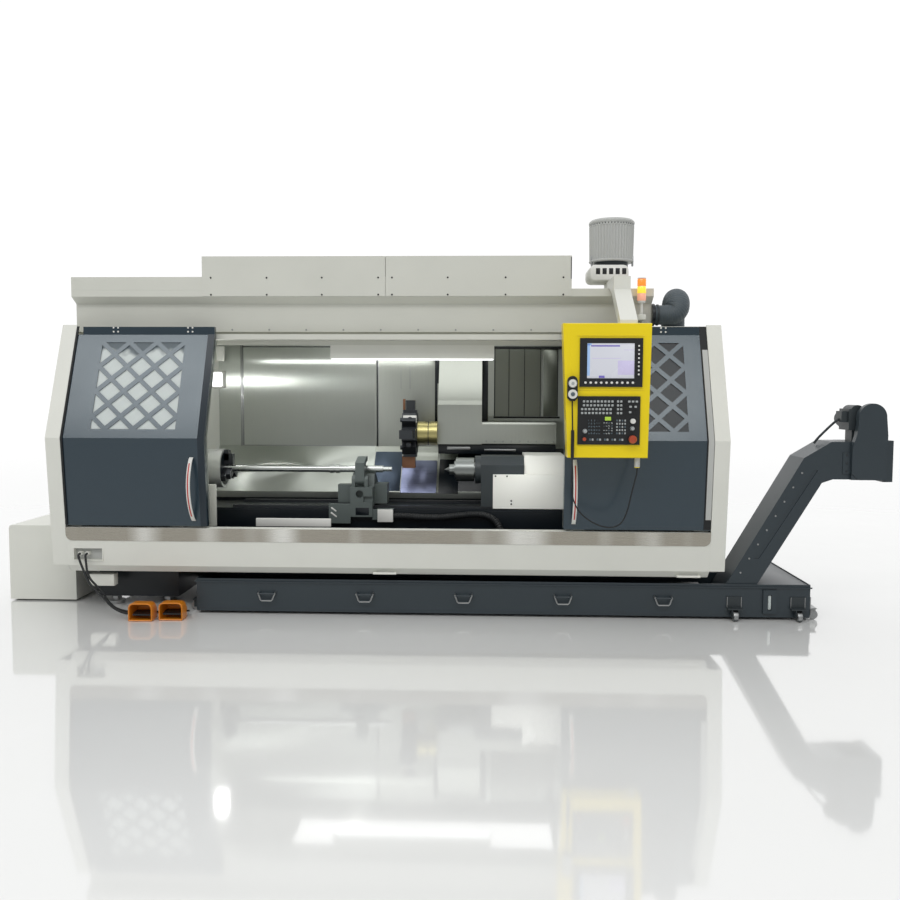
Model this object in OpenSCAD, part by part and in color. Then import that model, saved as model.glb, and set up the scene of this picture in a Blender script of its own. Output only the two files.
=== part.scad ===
// Slant-bed turning lathe with sliding doors, coolant tank and chip conveyor.
// X runs along the spindle, Y from the operator to the rear, Z up, floor at Z = 0.

/* [Cabinet] */
// Height of the end panels' top edge
top_z = 1872; // [1860:1:1880]
// Height of the knee where the front folds
knee_z = 1140; // [1100:5:1180]
// Height of the cabinet's lower edge
bottom_z = 314; // [300:2:330]
// Lean of the front from the knee to the top edge
top_lean = 284; // [270:2:300]
// Lean of the front from the knee to the lower edge
bottom_lean = 68; // [50:2:80]
// Depth from the knee to the rear wall
cab_d = 1500; // [1490:10:1600]
// Depth of the drive space between the guard and the rear wall
drive_d = 270; // [240:5:320]
// Depth of the electrical cabinet behind the rear wall
elec_d = 240; // [150:10:350]
// Width of the stile on each end panel
stile_w = 95; // [70:5:110]
// Thickness of an end panel
end_t = 30; // [20:2:40]
// Folded sheet thickness
sheet = 8; // [5:1:10]

/* [Doors] */
// Clear width between the open doors
open_w = 2270; // [2200:10:2300]
// Width of one door leaf
door_w = 975; // [900:5:980]
// Depth of a door leaf
door_t = 36; // [28:2:44]
// Height of the doors' lower edge
door_low = 575; // [570:1:600]
// Height of the doors' top edge
door_high = 1806; // [1780:2:1810]
// Depth of the inner leaf behind each door
leaf_t = 20; // [12:2:24]
// Width of the lattice window
win_w = 546; // [440:2:580]
// Height of the lattice window along the slope
win_h = 600; // [500:10:640]
// Length of the bow handles
bow_len = 410; // [300:10:440]

/* [Header] */
// How far the header stops short of the right end
header_short = 420; // [380:10:460]
// Height of the header's top above the end panels
header_up = 230; // [200:2:260]
// Length of the tall top cover
cover_len = 2434; // [2000:10:2500]
// Height of the tall top cover above the hood
cover_h = 133; // [80:5:180]

/* [Work zone] */
// Height of the spindle axis
axis_z = 902; // [890:2:910]
// Distance of the spindle axis in front of the guard
axis_in = 630; // [620:2:640]
// Chuck diameter
chuck_d = 270; // [200:5:290]
// Chuck length
chuck_len = 170; // [120:5:190]
// Workpiece diameter
bar_d = 48; // [30:1:50]
// Workpiece length from the chuck face
bar_len = 1170; // [900:10:1200]
// Turret tool circle radius
tool_r = 236; // [220:2:240]
// Number of turret stations
stations = 8; // [6:1:10]
// Gold turret body diameter
turret_d = 170; // [140:5:180]
// Quill head diameter
quill_d = 164; // [120:2:170]

/* [Coolant tank and conveyor] */
// Length of the tank
tank_len = 3923; // [3700:10:3950]
// Depth of the tank
tank_d = 830; // [700:10:840]
// Height of the tank rim
tank_z = 229; // [210:1:240]
// Width of the conveyor trunk
trunk_w = 260; // [200:10:300]
// Height of the conveyor's discharge top
trunk_z = 1134; // [1100:2:1160]
// Caster wheel diameter
caster_d = 60; // [50:2:66]

/* [Operator panel] */
// Width of the panel's top edge
panel_w = 485; // [460:5:520]
// Height of the panel
panel_h = 800; // [760:5:820]
// Depth of the panel
panel_d = 130; // [100:5:140]
// Emergency stop button diameter
estop_d = 48; // [36:2:54]

/* [Foot switches] */
// Width of one foot-switch guard
pedal_w = 166; // [140:2:176]
// Height of one foot-switch guard
pedal_h = 130; // [120:2:160]

/* [Hidden] */
$fn = 48;
// Clearance between pieces that meet on flat faces
fit = 0.3;
// Running clearance between sliding sheets
run = 0.5;
eps = 1;
door_side = 10;
half_w = open_w / 2 + door_w + door_side + end_t;
wall_y = cab_d - drive_d;
axis_y = wall_y - axis_in;

// Front outline of the cabinet
function front_y(z) = z > knee_z
    ? top_lean * (z - knee_z) / (top_z - knee_z)
    : bottom_lean * (knee_z - z) / (knee_z - bottom_z);
slope_a = atan2(top_lean, top_z - knee_z);

// Overall box and its shift to the middle of the footprint
motor_w = 460;
tank_x1 = half_w + 548;
tank_x0 = tank_x1 - tank_len;
trunk_top_x = tank_x1 + 226;
head_right = trunk_top_x + 256;
panel_y = -200;
estop_h = 62;
x_left = -half_w - motor_w;
y_front = panel_y - estop_h;
y_back = cab_d + elec_d;
module machine() translate([-(x_left + head_right) / 2, -(y_front + y_back) / 2, 0]) children();

// Pieces carried by the header are drawn with its right end at this X
carried_x = 1730;
module carried() machine() translate([header_x1 - carried_x, 0, 0]) children();

// Extrusions of an outline drawn in Y and Z along X, and in X and Z along Y
module along_x(x0, x1) translate([x0, 0, 0]) rotate([90, 0, 90]) linear_extrude(x1 - x0) children();
module along_y(y0, y1) translate([0, y1, 0]) rotate([90, 0, 0]) linear_extrude(y1 - y0) children();
module block(a, b) translate(a) cube(b - a);
module rod_x(x0, x1, y, z, r) translate([x0, y, z]) rotate([0, 90, 0]) cylinder(h = x1 - x0, r = r);
module rod_y(y0, y1, x, z, r) translate([x, y0, z]) rotate([-90, 0, 0]) cylinder(h = y1 - y0, r = r);
module rod(a, b, r) {
    v = b - a;
    translate(a) rotate([0, atan2(norm([v.x, v.y]), v.z), atan2(v.y, v.x)]) cylinder(h = norm(v), r = r);
}
// Band that follows the cabinet's front between two heights, y0 to y1 behind it
module front_band(z0, z1, y0, y1) {
    zs = z0 < knee_z && z1 > knee_z ? [z0, knee_z, z1] : [z0, z1];
    n = len(zs) - 1;
    polygon(concat(
        [for (z = zs) [front_y(z) + y0, z]],
        [for (i = [n:-1:0]) [front_y(zs[i]) + y1, zs[i]]]));
}
// Round tube swept along hand-chosen points that a smooth curve joins
function curve_at(a, b, c, d, t) =
    0.5 * (2 * b + (c - a) * t + (2 * a - 5 * b + 4 * c - d) * t * t + (3 * b - a - 3 * c + d)
        * t * t * t);
function curve(p, n) = concat(
    [for (i = [0:len(p) - 2]) for (k = [0:n - 1])
        curve_at(p[max(i - 1, 0)], p[i], p[i + 1], p[min(i + 2, len(p) - 1)], k / n)],
    [p[len(p) - 1]]);
function unit(v) = v / norm(v);
module tube(points, steps, r, sides, side_ref) {
    path = curve(points, steps);
    last = len(path) - 1;
    rings = [for (i = [0:last])
        let (t = unit(path[min(i + 1, last)] - path[max(i - 1, 0)]),
             u = unit(cross(t, side_ref)),
             v = cross(t, u))
        for (k = [0:sides - 1]) path[i] + r * (u * cos(360 * k / sides) + v * sin(360 * k / sides))];
    sides_faces = [for (i = [0:last - 1]) for (k = [0:sides - 1]) for (half = [0, 1])
        let (a = i * sides + k, b = i * sides + (k + 1) % sides, c = a + sides, d = b + sides)
        half == 0 ? [a, c, b] : [b, c, d]];
    polyhedron(rings, concat(sides_faces,
        [[for (k = [0:sides - 1]) k]],
        [[for (k = [sides - 1:-1:0]) last * sides + k]]));
}

// Doors, from front to back: leaf, inner leaf, fixed front panel
door_gap = sheet + 4;
leaf_y = door_gap + door_t + 8;
fixed_y = leaf_y + leaf_t + 8;
door_x = open_w / 2;
inner_wall_y = fixed_y + sheet + 5;
win_margin = 190;
win_up = 60;
pane_t = 6;
skin_t = 6;
track_z = door_high + 9;
track_y = 335;
hang_y0 = front_y(door_high) + door_gap;
hang_in = 102;

// Header outline
band_y = 420;
lip_y = 350;
header_z = top_z + header_up;
header_x0 = -half_w + end_t + fit;
header_x1 = half_w - header_short;
channel_y = 450;
channel_z = 1750;
header_back = 480;
hood_z = header_z + 90;
hood_back = wall_y - 2;

// Guard behind the work zone: upright wall, slope and lip
crease_z = 1021;
slope_run = 315;
lip_y_pos = wall_y - slope_run;
lip_z = crease_z - slope_run;
lip_h = 46;
guard_t = 6;
inner_wall_x = -1400;
inner_wall_t = 12;
ledge_y = axis_y - 120;
ledge_z = 640;
bed_low = 60;
rail_h = 16;
rail_w = 40;
rail_front_y = axis_y - 80;
rail_back_y = axis_y + 220;
trough_y = 126;
trough_z = 414;
sill_z = 562;

// Telescopic cover layers, counted forward from the fixed guard
layer_t = 4;
layer = layer_t + run;
cover_top = 1762;
cover_low = 1255;

// Spindle
nose_len = 55;
nose_x = inner_wall_x + nose_len;
chuck_x = nose_x + run;
chuck_face = chuck_x + chuck_len;
jaw_len = 62;
collar_x = 740;

// Carriage, cross slide and turret
carr_x0 = 300;
carr_x1 = 617;
carr_y = axis_y + 280;
arm_x1 = 1152;
carr_back = wall_y - 4 * layer + layer_t;
disc_x0 = 51;
disc_x1 = 159;
turret_y = axis_y + 230;
turret_z = 1141;
disc_r = 118;

// Tailstock
tail_x0 = 613;
tail_x1 = 907;
tail_cover_x1 = 1180;
quill_x0 = 361;

// Steady rest
steady_x0 = -272;
steady_x1 = -121;
arm_w = 62;
steady_arm_x0 = -241;
pivot_y = axis_y - 120;
pivot_z = 838;
pivot_r = 28;
pin_r = 12;

// Tank, conveyor
tank_y = 100;
tank_low = 18;
tank_wall = 6;
trunk_y = tank_y + tank_wall + 6;
trunk_a = 60;
caster_r = caster_d / 2;

// Operator panel and its arm
panel_x1 = 1619;
panel_x0 = panel_x1 - panel_w;
panel_z0 = 1848 - panel_h;
panel_z1 = 1848;
arm_x = 1500;
arm_half = 52;
swing_y = -125;
boom_y = 110;
neck_r = 34;

foot_front = max(axis_y - 300, 200);
foot_x0 = -half_w + 200;
foot_x1 = min(inner_wall_x - inner_wall_t - fit, tank_x0 - 90);
tank_back = tank_y + tank_d + 30;
// Cast bed with its slanted front, ledge for the rails and pedestal under the headstock
module bed_casting() machine() color("dimgray") {
    back_y = wall_y + guard_t + run;
    low_y = lip_y_pos + guard_t + run;
    along_x(inner_wall_x + fit, half_w - 150) polygon([
        [ledge_y, 430], [ledge_y, ledge_z], [low_y, ledge_z], [low_y, lip_z], [back_y, crease_z],
        [back_y, 1300], [cab_d - 60, 1300], [cab_d - 60, bed_low], [tank_y + tank_d + 20, bed_low],
        [tank_y + tank_d + 20, 300], [axis_y + 100, 430]]);
    block([foot_x0, tank_back, bed_low], [inner_wall_x - inner_wall_t - fit, cab_d - 60, 560]);
    block([foot_x0, foot_front, bed_low], [foot_x1, tank_back + eps, 560]);
    block([inner_wall_x - inner_wall_t - 20, tank_back, bed_low], [inner_wall_x + 20, cab_d - 60, 420]);
}
foot_y = tank_y + tank_d + 80;
foot_rows = [[foot_x0 + 90, foot_front + 60], [foot_x0 + 90, cab_d - 120],
    [foot_x1 - 88, foot_front + 60],
    [-400, cab_d - 120], [-400, foot_y], [half_w - 250, cab_d - 120], [half_w - 250, foot_y]];
module levelling_feet() machine() color("gray")
    for (p = foot_rows) translate([p.x, p.y, 0]) {
        cylinder(h = 22, r = 55);
        cylinder(h = bed_low, r = 22);
        translate([0, 0, 34]) cylinder(h = 16, r = 34, $fn = 6);
    }
// Flat ways for the tailstock and the steady rest
module guide_rails() machine() color("silver")
    for (y = [rail_front_y, rail_back_y])
        block([-1100, y, ledge_z], [half_w - 200, y + rail_w, ledge_z + rail_h]);
module headstock() machine() color("whitesmoke") {
    along_x(inner_wall_x - inner_wall_t, inner_wall_x) polygon([
        [front_y(425) + inner_wall_y, 425], [inner_wall_y, knee_z],
            [front_y(channel_z) + inner_wall_y, channel_z - 2],
        [header_back + 2, channel_z - 2], [header_back + 2, top_z - 14], [wall_y - fit, top_z - 14],
            [wall_y - fit, 425]]);
    block([-half_w + 150, foot_front + 30, 560 + fit],
        [inner_wall_x - inner_wall_t - 1, axis_y + 500, 1240]);
    rod_x(inner_wall_x - inner_wall_t - 1, nose_x, axis_y, axis_z, 60);
    rod_x(inner_wall_x, nose_x - 18, axis_y, axis_z, 118);
}
// End panel plate with its stile and the fixed panel behind the open door, at the left
module end_panel() {
    along_x(-half_w, -half_w + end_t) difference() {
        polygon([[bottom_lean, bottom_z], [0, knee_z], [top_lean, top_z], [cab_d, top_z],
            [cab_d, bottom_z]]);
        translate([cab_d / 2, 420]) square([420, 900]);
    }
    along_x(-half_w + 6, -half_w + end_t - 6) translate([cab_d / 2 - eps, 420 - eps]) square([422, 902]);
    along_x(-half_w, -half_w + stile_w) front_band(bottom_z, top_z, 0, sheet);
    along_x(-half_w + end_t - eps, -door_x - 45) front_band(door_low, track_z - 40, fixed_y,
        fixed_y + sheet);
}
module left_end_panel() machine() color("gainsboro") end_panel();
module right_end_panel() machine() color("gainsboro") mirror([1, 0, 0]) end_panel();

// Sill band with its lower lip, top shelf, cable recess and two pull handles
sill_x = half_w - stile_w - fit;
recess = [-sill_x + 46, 349, -sill_x + 231, 425];
gland_x = [-sill_x + 85.7, -sill_x + 131.7];
pull_x = [2.5, sill_x - 129.2];
pull_w = 147;
module front_sill() machine() color("gainsboro") {
    difference() {
        union() {
            along_x(-sill_x, sill_x) front_band(bottom_z, sill_z, 0, sheet);
            along_x(-sill_x, sill_x) polygon([[bottom_lean, bottom_z], [bottom_lean + 44, bottom_z - 46],
                [bottom_lean + 52, bottom_z - 46], [bottom_lean + 52, bottom_z + sheet],
                    [bottom_lean, bottom_z + sheet]]);
            along_x(-sill_x, sill_x) polygon([[front_y(sill_z) + 3, sill_z - sheet],
                [front_y(sill_z) + 3, sill_z],
                [trough_y - fit, sill_z], [trough_y - fit, sill_z - sheet]]);
            block([recess[0] - 6, 58, recess[1] - 6], [recess[2] + 6, 100, recess[3] + 6]);
        }
        block([recess[0], 40, recess[1]], [recess[2], 92, recess[3]]);
    }
    for (x = gland_x) rod_y(60, 93, x, 390, 14);
    for (x = pull_x) {
        for (s = [0, 1]) block([x - pull_w / 2 + s * (pull_w - 14), 66, bottom_z - 40],
            [x - pull_w / 2 + 14 + s * (pull_w - 14), bottom_lean + 48, bottom_z - 28]);
        rod_x(x - pull_w / 2, x + pull_w / 2, 66, bottom_z - 34, 7);
    }
}
// Stainless kick plate with rounded lower corners
plate_t = 3;
plate_r = 40;
module sill_plate() machine() color("silver") intersection() {
    along_x(-sill_x, sill_x) front_band(bottom_z + 163, sill_z, -plate_t - fit, -fit);
    along_y(0, 100) {
        translate([-sill_x + plate_r, bottom_z + 163]) square([2 * (sill_x - plate_r), sill_z]);
        translate([-sill_x, bottom_z + 163 + plate_r]) square([2 * sill_x, sill_z]);
        for (s = [-1, 1]) translate([s * (sill_x - plate_r), bottom_z + 163 + plate_r]) circle(plate_r);
    }
}
// Rear wall and electrical cabinet with two doors
elec_x = [-900, 1500];
module rear_panel() machine() color("gainsboro") {
    block([-half_w + end_t + fit, cab_d - 30, bottom_z],
        [half_w - end_t - fit, cab_d, top_z - sheet - fit]);
    difference() {
        block([elec_x[0], cab_d - eps, 330], [elec_x[1], y_back, 1850]);
        for (k = [0, 1]) {
            mid = (elec_x[0] + elec_x[1]) / 2;
            x0 = k == 0 ? elec_x[0] + 20 : mid + 4;
            x1 = k == 0 ? mid - 4 : elec_x[1] - 20;
            along_y(y_back - 4, y_back + eps) difference() {
                translate([x0, 350]) square([x1 - x0, 1480]);
                translate([x0 + 5, 355]) square([x1 - x0 - 10, 1470]);
            }
        }
        for (k = [0:9]) block([elec_x[0] + 150, y_back - 10, 450 + 26 * k],
            [elec_x[0] + 550, y_back + eps, 462 + 26 * k]);
    }
}
// Header beam with the door track, hood above the work zone and tall top cover in two halves
roof_step = 533;
hood_x1 = header_x1 - roof_step;
cover_mid = hood_x1 - cover_len / 2;
cover_seam = 3;
flat_z = header_z + sheet + 3;
module header() machine() color("gainsboro") {
    along_x(header_x0, header_x1) polygon([[band_y, channel_z + 85], [band_y, header_z - 81],
        [lip_y, header_z - 39], [lip_y, header_z], [header_back, header_z], [header_back, channel_z],
        [channel_y, channel_z], [channel_y, track_z - 35], [track_y, track_z - 35], [track_y, track_z],
        [track_y + 10, track_z], [track_y + 10, track_z - 27], [channel_y, track_z - 27],
        [channel_y, channel_z + 85]]);
    along_x(header_x0, hood_x1) hood_outline(hood_z);
    along_x(hood_x1 - eps, header_x1) hood_outline(flat_z);
    block([header_x1 - eps, band_y + 60, top_z - sheet], [half_w - end_t - fit, cab_d, top_z]);
    for (x = [header_x0, hood_x1 - sheet])
        block([x, header_back - eps, header_z - 4], [x + sheet, hood_back - eps, hood_z - eps]);
    block([header_x1 - sheet, header_back - eps, top_z - eps],
        [header_x1, hood_back - eps, flat_z - eps]);
    for (k = [0, 1]) {
        x0 = k == 0 ? cover_mid - cover_len / 2 : cover_mid + cover_seam / 2;
        x1 = k == 0 ? cover_mid - cover_seam / 2 : hood_x1;
        along_x(x0, x1) polygon([[lip_y - 6, header_z - 37], [lip_y - 6, hood_z + cover_h],
            [lip_y + 550, hood_z + cover_h], [lip_y + 550, hood_z + fit], [lip_y - fit, hood_z + fit],
            [lip_y - fit, header_z - 37]]);
    }
}
// Folded roof sheet: lip on the header, top at a given height, rear drop and flat rear roof
module hood_outline(z) polygon([[lip_y, header_z + fit], [lip_y, z], [hood_back, z], [hood_back, top_z],
    [cab_d, top_z], [cab_d, top_z - sheet], [hood_back - sheet, top_z - sheet],
        [hood_back - sheet, z - sheet],
    [lip_y + sheet, z - sheet], [lip_y + sheet, header_z + fit]]);
// Outline of the guard's face, moved forward by a number of layers
module guard_face(y0, t, z1) polygon([[wall_y - y0, z1], [wall_y - y0, crease_z],
    [lip_y_pos - y0, lip_z], [lip_y_pos - y0 + t, lip_z], [wall_y - y0 + t, crease_z],
        [wall_y - y0 + t, z1]]);
guard_x0 = inner_wall_x + fit;
guard_x1 = half_w - end_t - fit;
module back_guard() machine() color("silver") along_x(guard_x0, guard_x1) {
    guard_face(0, guard_t, top_z - sheet - fit);
    translate([lip_y_pos, lip_z - lip_h]) square([guard_t, lip_h]);
}
// Chip trough between the sill and the bed
module chip_trough() machine() color("darkslategray") {
    along_x(guard_x0, guard_x1) polygon([[trough_y, sill_z], [trough_y + guard_t, sill_z],
        [trough_y + guard_t, trough_z + guard_t],
        [ledge_y - guard_t - run, trough_z + guard_t], [ledge_y - guard_t - run, ledge_z - 10],
        [ledge_y - run, ledge_z - 10], [ledge_y - run, trough_z], [trough_y, trough_z]]);
}
// Telescopic way covers: one wide folded sheet at the left, three plates at the right
module way_cover_left() machine() color("silver")
    along_x(-1221, -50) guard_face(layer, layer_t, top_z - sheet - 10);
module right_plate(edge_x, k) {
    along_x(edge_x - 340, edge_x) translate([wall_y - k * layer, cover_low]) square([layer_t,
        cover_top - cover_low]);
    block([edge_x - 6, wall_y - k * layer - 3, cover_low], [edge_x, wall_y - k * layer + eps, cover_top]);
}
plate_edges = [1056, 935, 818];
module way_cover_right_1() machine() color("gray") right_plate(plate_edges[0], 1);
module way_cover_right_2() machine() color("gray") right_plate(plate_edges[1], 2);
module way_cover_right_3() machine() color("gray") right_plate(plate_edges[2], 3);
// Lamp strip under the header and square lamp on an arm from the headstock wall
lamp_y = axis_y + 100;
module work_lamps() machine() color("white") {
    block([-405, channel_y + 2, 1659], [697, channel_y + 110, channel_z - fit]);
    block([-1290, lamp_y - 20, 1462], [-1196, lamp_y + 20, 1578]);
    rod_x(inner_wall_x + fit, -1289, lamp_y, 1520, 14);
}
module motor_cover() machine() color("gainsboro") {
    difference() {
        along_y(380, 1000) polygon([[x_left, 10], [x_left, 505], [x_left + 12, 520],
            [-half_w - fit, 520], [-half_w - fit, 10]]);
        block([x_left + 6, 386, 0], [-half_w - 6, 994, 512]);
    }
}
// Open tray with a folded rim, five bow handles and a partition
handle_pitch = (tank_len - 753) / 5;
tank_handle_x = [for (k = [0:4]) tank_x0 + 463 + handle_pitch * k];
module coolant_tank() machine() color("darkslategray") {
    difference() {
        block([tank_x0, tank_y, tank_low], [tank_x1, tank_y + tank_d, tank_z]);
        block([tank_x0 + tank_wall, tank_y + tank_wall, tank_low + tank_wall],
            [tank_x1 - tank_wall, tank_y + tank_d - tank_wall, tank_z + eps]);
    }
    block([tank_x0 - 10, tank_y - 8, tank_z - 24], [tank_x1 + 10, tank_y + eps, tank_z - 16]);
    block([tank_x0 + 5, 560, tank_low + 5], [tank_x1 - 5, 566, tank_z - 20]);
    for (x = tank_handle_x) {
        for (s = [-1, 1]) rod_y(70, tank_y + eps, x + s * 46, 138, 5);
        rod_x(x - 51, x + 51, 70, 138, 5);
        block([x - 58, tank_y - 3, 126], [x - 34, tank_y + eps, 150]);
        block([x + 34, tank_y - 3, 126], [x + 58, tank_y + eps, 150]);
    }
}
sight_x = tank_x1 - 297;
module sight_glass() machine() color("black") difference() {
    along_y(tank_y - 14, tank_y - fit) translate([sight_x, 44]) square([85, 150]);
    along_y(tank_y - 15, tank_y - 6) translate([sight_x + 30, 66]) square([23, 96]);
}
// Swivel casters in brackets on the tank's front and ends
module caster() {
    block([-48, -44, 72], [48, -fit, 80]);
    block([-48, -6, 72], [48, -fit, 150]);
    hub_y = -caster_r - 4;
    for (s = [-1, 1]) along_x(s * 20 - 3, s * 20 + 3) polygon([[-44, 80], [-fit, 80], [-fit, 60],
        [hub_y + 9, caster_r - 8], [hub_y - 9, caster_r - 8]]);
    rod_x(-23, 23, hub_y, caster_r, 6);
    rod_x(-14, 14, hub_y, caster_r, caster_r);
}
module tank_casters() machine() color("dimgray") {
    for (x = [tank_x1 - 476, tank_x1 - 78]) translate([x, tank_y, 0]) caster();
    for (y = [300, 760]) {
        translate([tank_x1, y, 0]) rotate([0, 0, 90]) caster();
        translate([tank_x0, y - 100, 0]) rotate([0, 0, -90]) caster();
    }
}
// Inclined conveyor trunk from the tank floor to the discharge head
trunk_t = 165;
trunk_foot_z = tank_low + tank_wall + fit;
trunk_bend_x = trunk_top_x - 117;
module conveyor_trunk() machine() color("darkslategray") {
    ta = tan(trunk_a);
    lean_top = trunk_bend_x - 168;
    knee_low = lean_top - (trunk_z - 102 - 369) / ta;
    low_dx = trunk_t / sin(trunk_a);
    foot_dx = (369 - trunk_foot_z) / ta;
    difference() {
        along_y(trunk_y, trunk_y + trunk_w) polygon([
            [knee_low - foot_dx, trunk_foot_z], [knee_low, 369], [lean_top, trunk_z - 102],
            [trunk_bend_x, trunk_z], [trunk_top_x, trunk_z], [trunk_top_x, trunk_z - 236],
            [trunk_bend_x + 12, trunk_z - 236], [trunk_bend_x - 54, trunk_z - 259],
            [knee_low - foot_dx + low_dx, trunk_foot_z]]);
        along_y(trunk_y - eps, trunk_y + 5) polygon([
            [knee_low + 90, 390], [lean_top + 62, trunk_z - 180], [lean_top + 88, trunk_z - 180],
                [knee_low + 120, 390]]);
    }
    block([tank_x0 + 200, trunk_y, trunk_foot_z], [knee_low - foot_dx + eps, trunk_y + trunk_w, 180]);
    for (y = [trunk_y - 5, trunk_y + trunk_w])
        block([trunk_top_x - 47, y, trunk_z - 200], [trunk_top_x, y + 5, trunk_z - 68]);
}
// Discharge head: box with an open underside, rounded front guard and chute at the right
head_x1 = trunk_top_x + 216;
head_low = trunk_z - 237;
guard_top = [trunk_top_x + 120, trunk_z + 155];
guard_r = 86;
module head_outline() {
    polygon([[trunk_top_x + 46, head_low], [trunk_top_x + fit, head_low + 40],
        [trunk_top_x + fit, trunk_z - 40],
        [trunk_top_x + 24, trunk_z + 40], [guard_top.x - guard_r, guard_top.y - 50],
            [guard_top.x - guard_r, guard_top.y],
        [guard_top.x + guard_r, guard_top.y], [head_x1, trunk_z + 46], [head_x1, head_low]]);
    translate(guard_top) circle(guard_r);
}
module conveyor_head() machine() color("darkslategray") {
    back = trunk_y + trunk_w;
    difference() {
        union() {
            along_y(trunk_y - 28, trunk_y + 16) head_outline();
            block([trunk_top_x + fit, trunk_y - 22, head_low], [head_x1, back + 22, trunk_z]);
            block([head_x1 - 20, trunk_y - 16, head_low - 12], [head_right, back + 16, trunk_z + 10]);
        }
        block([trunk_top_x + 40, trunk_y + 22, head_low - 20], [head_x1 - 20, back + 12, trunk_z - 34]);
    }
}
// Gearmotor behind the guard, with its terminal box and cable to the trunk
gear_x = trunk_top_x + 54;
motor_y = trunk_y + 190;
motor_cable = [[gear_x - 92, 215, 1275], [gear_x - 126, 222, 1244], [gear_x - 166, 238, 1198],
    [gear_x - 204, 252, 1152], [gear_x - 228, 260, 1116]];
module conveyor_motor() machine() color("dimgray") {
    for (x = [gear_x - 22, gear_x + 22]) block([x - 9, trunk_y + 50, trunk_z + fit],
        [x + 9, trunk_y + 150, 1210]);
    block([gear_x - 56, trunk_y + 38, 1206], [gear_x + 56, motor_y, 1340]);
    rod_y(trunk_y + 46, motor_y - 10, gear_x, 1320, 44);
    rod_y(motor_y - 1, motor_y + 130, gear_x + 26, 1272, 60);
    rod_y(motor_y + 129, motor_y + 160, gear_x + 26, 1272, 52);
    block([gear_x - 94, trunk_y + 58, 1255], [gear_x - 55, trunk_y + 148, 1325]);
    tube(motor_cable, 4, 8, 8, [0, 1, 0.2]);
}
// Filter canister with upright ribs on a fan housing
mist_x = 1490;
mist_y = 600;
mist_r = 152;
ribs = 44;
module mist_collector() carried() color("darkgray") translate([mist_x, mist_y, 0]) {
    rib_h = 5;
    translate([0, 0, hood_z + 126]) linear_extrude(240) polygon([for (k = [0:2 * ribs - 1])
        let (r = mist_r - (k % 2) * rib_h, a = 180 * k / ribs) [r * cos(a), r * sin(a)]]);
    translate([0, 0, hood_z + 365]) rotate_extrude()
        polygon([[0, 0], [mist_r + 2, 0], [mist_r + 2, 20], [mist_r - 12, 40], [mist_r - 60, 55],
            [0, 60]]);
    translate([0, 0, hood_z + 110]) cylinder(h = 18, r = mist_r - 2);
    translate([0, 0, hood_z]) cylinder(h = 112, r = mist_r - 18);
    block([-48, -110, flat_z + fit], [48, 110, hood_z + eps]);
    block([-mist_r + 20, -mist_r + 4, hood_z + 10], [mist_r - 30, 0, hood_z + 96]);
}
// Signal lamp on a post with a bracket to the header band
beacon_x = 1642;
beacon_y = 300;
module beacon() carried() color("orange") {
    translate([beacon_x, beacon_y, 0]) {
        for (k = [0:2]) translate([0, 0, 2028 + 47 * k]) cylinder(h = 45, r = 28);
        for (k = [0:3]) translate([0, 0, 2022 + 47 * k]) cylinder(h = 7, r = 24);
        translate([0, 0, 2022 + 147]) cylinder(h = 6, r = 28);
        translate([0, 0, 1935]) cylinder(h = 88, r = 10);
    }
    block([beacon_x - 26, beacon_y - 26, 1905], [beacon_x + 26, band_y - fit, 1940]);
}
// Extraction hose from the header's end to the roof
duct = [[carried_x + fit, 450, 1950], [1895, 458, 1962], [1917, 520, 2051], [1917, 640, 2046],
    [1917, 640, top_z + fit]];
duct_r = 66;
duct_wide = 80;
module exhaust_duct() carried() color("darkslategray") {
    rod(duct[0] + [18, 0, 0], duct[1], duct_r);
    translate(duct[1]) sphere(duct_r + 9);
    rod(duct[1], duct[2], duct_r + 5);
    translate(duct[2]) sphere(duct_wide + 2);
    rod(duct[2], duct[3], duct_wide - 2);
    translate(duct[3]) sphere(duct_wide + 3);
    rod(duct[4], duct[3], duct_wide);
    rod_x(carried_x + fit, carried_x + 22, 450, 1950, duct_r + 6);
}
// Shoe-shaped foot-switch guards, open towards the operator
pedal_x = [gland_x[0] + 465, gland_x[0] + 647];
pedal_y = [-130, -100];
pedal_d = 150;
hinge_in = 100;
hinge_z = 40;
module shoe(y0, t) polygon([[y0, t], [y0, pedal_h * 0.84 - t], [y0 + 40, pedal_h - t],
    [y0 + 80, pedal_h - t],
    [y0 + pedal_d - 30, pedal_h * 0.85 - t], [y0 + pedal_d - t, pedal_h * 0.5], [y0 + pedal_d - t, t]]);
module pedal_guards() machine() color("orange")
    for (k = [0, 1]) difference() {
        along_x(pedal_x[k] - pedal_w / 2, pedal_x[k] + pedal_w / 2) shoe(pedal_y[k], 0);
        along_x(pedal_x[k] - pedal_w / 2 + 5, pedal_x[k] + pedal_w / 2 - 5)
            translate([-eps, 0]) shoe(pedal_y[k], 5);
        rod_x(pedal_x[k] - pedal_w, pedal_x[k] + pedal_w, pedal_y[k] + hinge_in, hinge_z, 6);
    }
module pedal(k) {
    y0 = pedal_y[k];
    along_x(pedal_x[k] - 60, pedal_x[k] + 60) polygon([[y0 + 16, 34], [y0 + 16, 44], [y0 + hinge_in, 52],
        [y0 + hinge_in + 10, hinge_z], [y0 + hinge_in, 28]]);
    rod_x(pedal_x[k] - pedal_w / 2 + 1, pedal_x[k] + pedal_w / 2 - 1, y0 + hinge_in, hinge_z, 6 - fit);
}
module left_pedal() machine() color("black") pedal(0);
module right_pedal() machine() color("black") pedal(1);
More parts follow.
